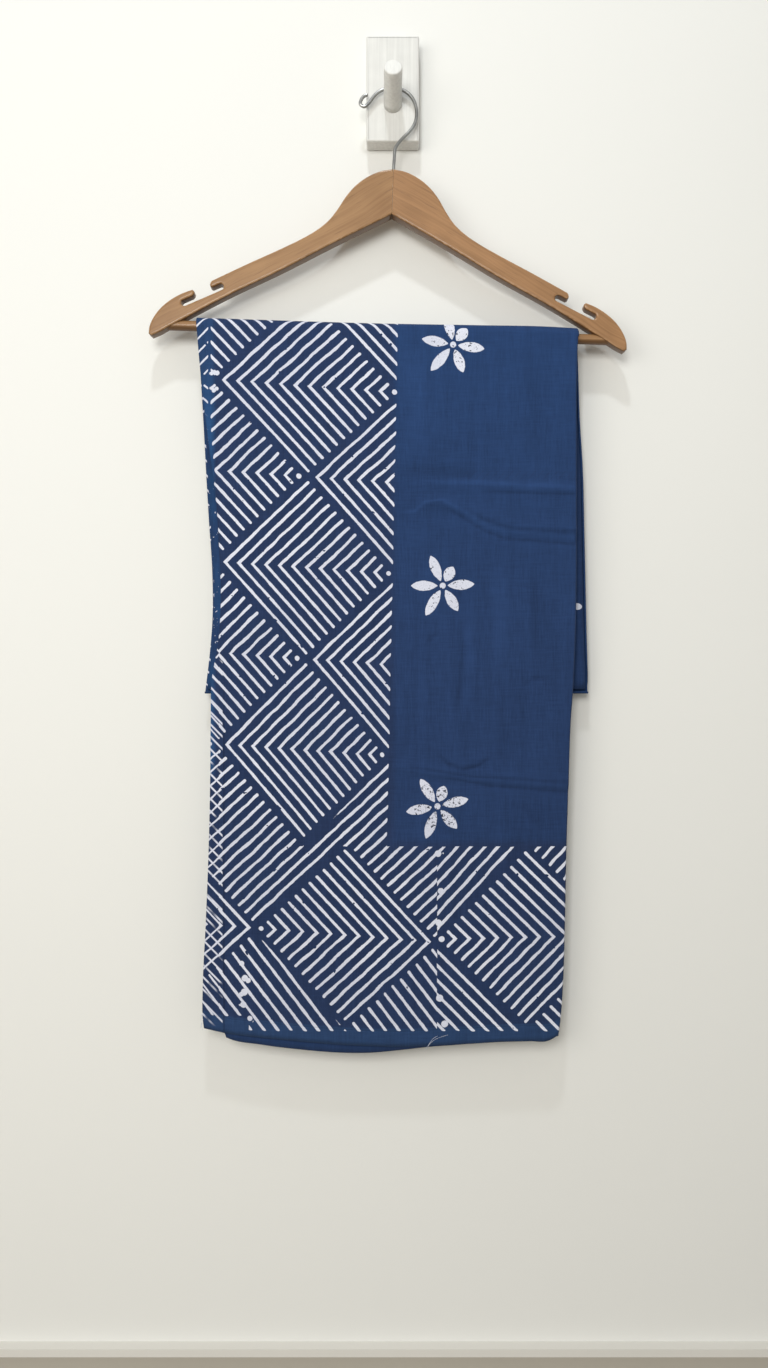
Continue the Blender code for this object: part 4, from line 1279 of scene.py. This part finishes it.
class SarongSettings(bpy.types.PropertyGroup):
    """Sizes and colours that a user would change."""

    cloth_wall: bpy.props.FloatProperty(
        name="Cloth thickness", description="One layer of the cloth", default=0.00024, min=0.0001, max=0.0003,
        subtype="DISTANCE", unit="LENGTH",
    )
    softness: bpy.props.FloatProperty(
        name="Ripples", description="Height of the front fall's slow ripples", default=1.0, min=0.0, max=1.5
    )
    field_high: colour_setting("Field near the top", "Plain field near the bar", (0.0165, 0.046, 0.135))
    field_low: colour_setting("Field near the foot", "Plain field lower down", (0.0178, 0.0415, 0.118))
    border: colour_setting("Border ground", "Ground between the printed lines", (0.0175, 0.0325, 0.087))
    inside: colour_setting("Layer edges", "Layers that show at the left edge", (0.0165, 0.058, 0.155))
    hem: colour_setting("Hem band", "Plain band at the hem", (0.022, 0.052, 0.13))
    line: colour_setting("Print", "Printed lines and flowers", (0.76, 0.78, 0.88))
    wood: colour_setting("Wood", "Lighter colour of the hanger's wood", (0.358, 0.199, 0.085))
    wood_dark: colour_setting("Wood grain", "Darker colour of the hanger's grain", (0.246, 0.124, 0.047))
    steel: colour_setting("Hook", "Wire of the hook", (0.43, 0.43, 0.42))
    paint: colour_setting("Paint", "Plate and peg", (0.74, 0.735, 0.70))
    wall: colour_setting("Wall", "Wall behind", (0.80, 0.798, 0.765))
    light: bpy.props.FloatProperty(
        name="Light", description="Strength of all three lights", default=4.3, min=0.0, max=60.0,
        subtype="POWER", unit="POWER",
    )


class SARONG_OT_cloth(bpy.types.Operator):
    """Build the layer of cloth that shows."""

    bl_idname = "sarong.cloth"
    bl_label = "Outer cloth"

    def execute(self, context):
        settings = context.scene.sarong
        look = cloth_look("printed_cotton_look", settings)
        face, flat, edge = outer_face(settings)
        wall = np.full(face.shape[:2], settings.cloth_wall / MM)
        piece = sheeted("sarong_outer", face, wall, look, flat, edge, ("cloth_outer",))
        return {"FINISHED"}


class SARONG_OT_layers(bpy.types.Operator):
    """Build the folded layers that show at the left edge and at the hem."""

    bl_idname = "sarong.layers"
    bl_label = "Hidden layers"

    def execute(self, context):
        settings = context.scene.sarong
        look = cloth_look("folded_cotton_look", settings, hidden=True)
        for number, (part, inset, lift) in enumerate(LAYERS):
            face, flat, edge = hidden_face(part, inset, lift)
            wall = np.full(face.shape[:2], settings.cloth_wall / MM)
            name = f"sarong_layer_{number + 1}"
            piece = sheeted(name, face, wall, look, flat, edge, ("cloth_core",))
        return {"FINISHED"}


class SARONG_OT_threads(bpy.types.Operator):
    """Build the loose thread ends at the hem and the frayed lower corner."""

    bl_idname = "sarong.threads"
    bl_label = "Loose threads"

    def execute(self, context):
        g = Graph("thread_look", 0.8)
        x, y, z = g.here()
        pale = g.ramp(g.noise(x, y, z, 400.0, 1.0), 0.35, 0.6)
        look = g.finish(g.tint(pale, (0.36, 0.42, 0.56, 1.0), (0.7, 0.72, 0.8, 1.0)))
        front = HANGER_Y - BAR_RADIUS - BAR_CLEAR - 6.6
        for number, line in enumerate(THREADS):
            points = through([(x, front, z) for x, z in line], 8)
            points[:, 1] -= 0.25 * np.sin(np.linspace(0, math.pi, len(points)))
            rings = tube_rings(points, THREAD_RADIUS, 8, Y_AXIS)
            ringed(f"thread_{number + 1}", rings, look)
        return {"FINISHED"}


class SARONG_OT_hanger(bpy.types.Operator):
    """Build the two wooden arms and the bar."""

    bl_idname = "sarong.hanger"
    bl_label = "Hanger"

    def execute(self, context):
        settings = context.scene.sarong
        outline = arm_outline()
        rings = slab_rings(outline, lambda x: curve(ARM_THICK, 1, x), ARM_ROUND, SEAM_GAP)
        edge = arm_edge(outline, len(rings) // 2)
        for name, side, red in (("arm_left", -1.0, 1.0), ("arm_right", 1.0, 1.06)):
            placed = rings.copy()
            placed[..., 0] = SEAM_X + side * rings[..., 0]
            placed[..., 1] += HANGER_Y
            wood = (settings.wood[0] * red, settings.wood[1], settings.wood[2])
            lean = -side * math.radians(29.0) - ROLL
            look = wood_look(name + "_look", wood, tuple(settings.wood_dark), lean)
            ringed("hanger_" + name, rolled(placed), look, (name,), edge)
        reach = BAR_HALF_LENGTH
        ends = reach - np.array([0.0, 0.2, 0.6])
        stops = np.concatenate([-ends, np.linspace(1.0 - reach, reach - 1.0, 40), ends[::-1]])
        radius = BAR_RADIUS - 0.6 * smoothstep((np.abs(stops) - reach + 0.7) / 0.7) ** 2
        line = np.stack([SEAM_X + stops, np.full(len(stops), HANGER_Y), np.full(len(stops), BAR_Z)], axis=1)
        look = wood_look("bar_look", tuple(settings.wood), tuple(settings.wood_dark), -ROLL)
        rings = tube_rings(line, radius, 48, Y_AXIS)
        # How much the bar faces up, so that the wood's painted shade darkens its lower side
        up = (rings[..., 2] - BAR_Z) / BAR_RADIUS
        edge = np.stack([np.ones_like(up), up], axis=-1).reshape(-1, 2)
        ringed("hanger_bar", rolled(rings), look, ("bar",), edge)
        return {"FINISHED"}


class SARONG_OT_hook(bpy.types.Operator):
    """Build the wire hook."""

    bl_idname = "sarong.hook"
    bl_label = "Hook"

    def execute(self, context):
        flat = through(HOOK_LINE, 9)
        line = np.stack([flat[:, 0], np.full(len(flat), HANGER_Y), flat[:, 1]], axis=1)
        radius = np.full(len(line), WIRE_RADIUS)
        radius[:3] *= (0.55, 0.85, 0.97)
        radius[-3:] *= (0.97, 0.85, 0.55)
        rings = tube_rings(line, radius, 28, Y_AXIS)
        look = steel_look("steel_look", tuple(context.scene.sarong.steel))
        ringed("hanger_hook", rolled(rings), look, ("hook",))
        return {"FINISHED"}


class SARONG_OT_peg(bpy.types.Operator):
    """Build the wall plate and the peg."""

    bl_idname = "sarong.peg"
    bl_label = "Plate and peg"

    def execute(self, context):
        look = paint_look("paint_look", tuple(context.scene.sarong.paint))
        ringed("wall_plate", plate_rings(), look, ("plate",))
        ringed("wall_peg", peg_rings(), look, ("peg",))
        return {"FINISHED"}


class SARONG_OT_stage(bpy.types.Operator):
    """Set the wall, the floor, the light and the camera."""

    bl_idname = "sarong.stage"
    bl_label = "Stage"

    def execute(self, context):
        settings = context.scene.sarong
        scene = context.scene
        wall = stage_look("wall_look", tuple(settings.wall), 0.9, 1.4, 0.015)
        trim = stage_look("trim_look", (0.72, 0.70, 0.65), 0.6, 3.0, 0.03)
        floor = stage_look("floor_look", (0.39, 0.352, 0.293), 0.5, 3.0, 0.05)
        out, rise = SKIRTING
        board("wall", (-ROOM_HALF, WALL_FACE, FLOOR_Z), (ROOM_HALF, 0.05, 1.6), wall)
        board("skirting", (-ROOM_HALF, -out, FLOOR_Z), (ROOM_HALF, WALL_FACE, FLOOR_Z + rise), trim)
        board("floor", (-ROOM_HALF, -3.4, FLOOR_Z - 0.05), (ROOM_HALF, 0.05, FLOOR_Z), floor)
        for name, place_at, aim, size, share, colour in LIGHTS:
            light(name, place_at, aim, size, settings.light * share, colour)

        world = bpy.data.worlds.new("room")
        world.use_nodes = True
        background = world.node_tree.nodes["Background"]
        background.inputs["Color"].default_value = (1.0, 1.0, 0.985, 1.0)
        background.inputs["Strength"].default_value = ROOM_GLOW
        scene.world = world

        camera = bpy.data.cameras.new("camera")
        camera.lens = CAMERA_LENS
        eye = bpy.data.objects.new("camera", camera)
        eye.location = CAMERA_AT
        eye.rotation_euler = (math.pi / 2, 0.0, 0.0)
        scene.collection.objects.link(eye)
        scene.camera = eye
        scene.view_settings.view_transform = "Standard"
        scene.view_settings.exposure = 0.0
        return {"FINISHED"}


class SARONG_PT_panel(bpy.types.Panel):
    """Settings and build buttons."""

    bl_idname = "SARONG_PT_panel"
    bl_label = "Sarong"
    bl_space_type = "VIEW_3D"
    bl_region_type = "UI"
    bl_category = "Sarong"

    def draw(self, context):
        column = self.layout.column()
        for key in SarongSettings.__annotations__:
            column.prop(context.scene.sarong, key)
        for operator in OPERATORS:
            column.operator(operator.bl_idname)


OPERATORS = (
    SARONG_OT_peg,
    SARONG_OT_hook,
    SARONG_OT_hanger,
    SARONG_OT_cloth,
    SARONG_OT_layers,
    SARONG_OT_threads,
    SARONG_OT_stage,
)
CLASSES = (SarongSettings, *OPERATORS, SARONG_PT_panel)


def register():
    for made in CLASSES:
        bpy.utils.register_class(made)
    bpy.types.Scene.sarong = bpy.props.PointerProperty(type=SarongSettings)


def unregister():
    del bpy.types.Scene.sarong
    for made in reversed(CLASSES):
        bpy.utils.unregister_class(made)


def main():
    register()
    for step in (
        bpy.ops.sarong.peg,
        bpy.ops.sarong.hook,
        bpy.ops.sarong.hanger,
        bpy.ops.sarong.cloth,
        bpy.ops.sarong.layers,
        bpy.ops.sarong.threads,
        bpy.ops.sarong.stage,
    ):
        step()


if __name__ == "__main__":
    main()
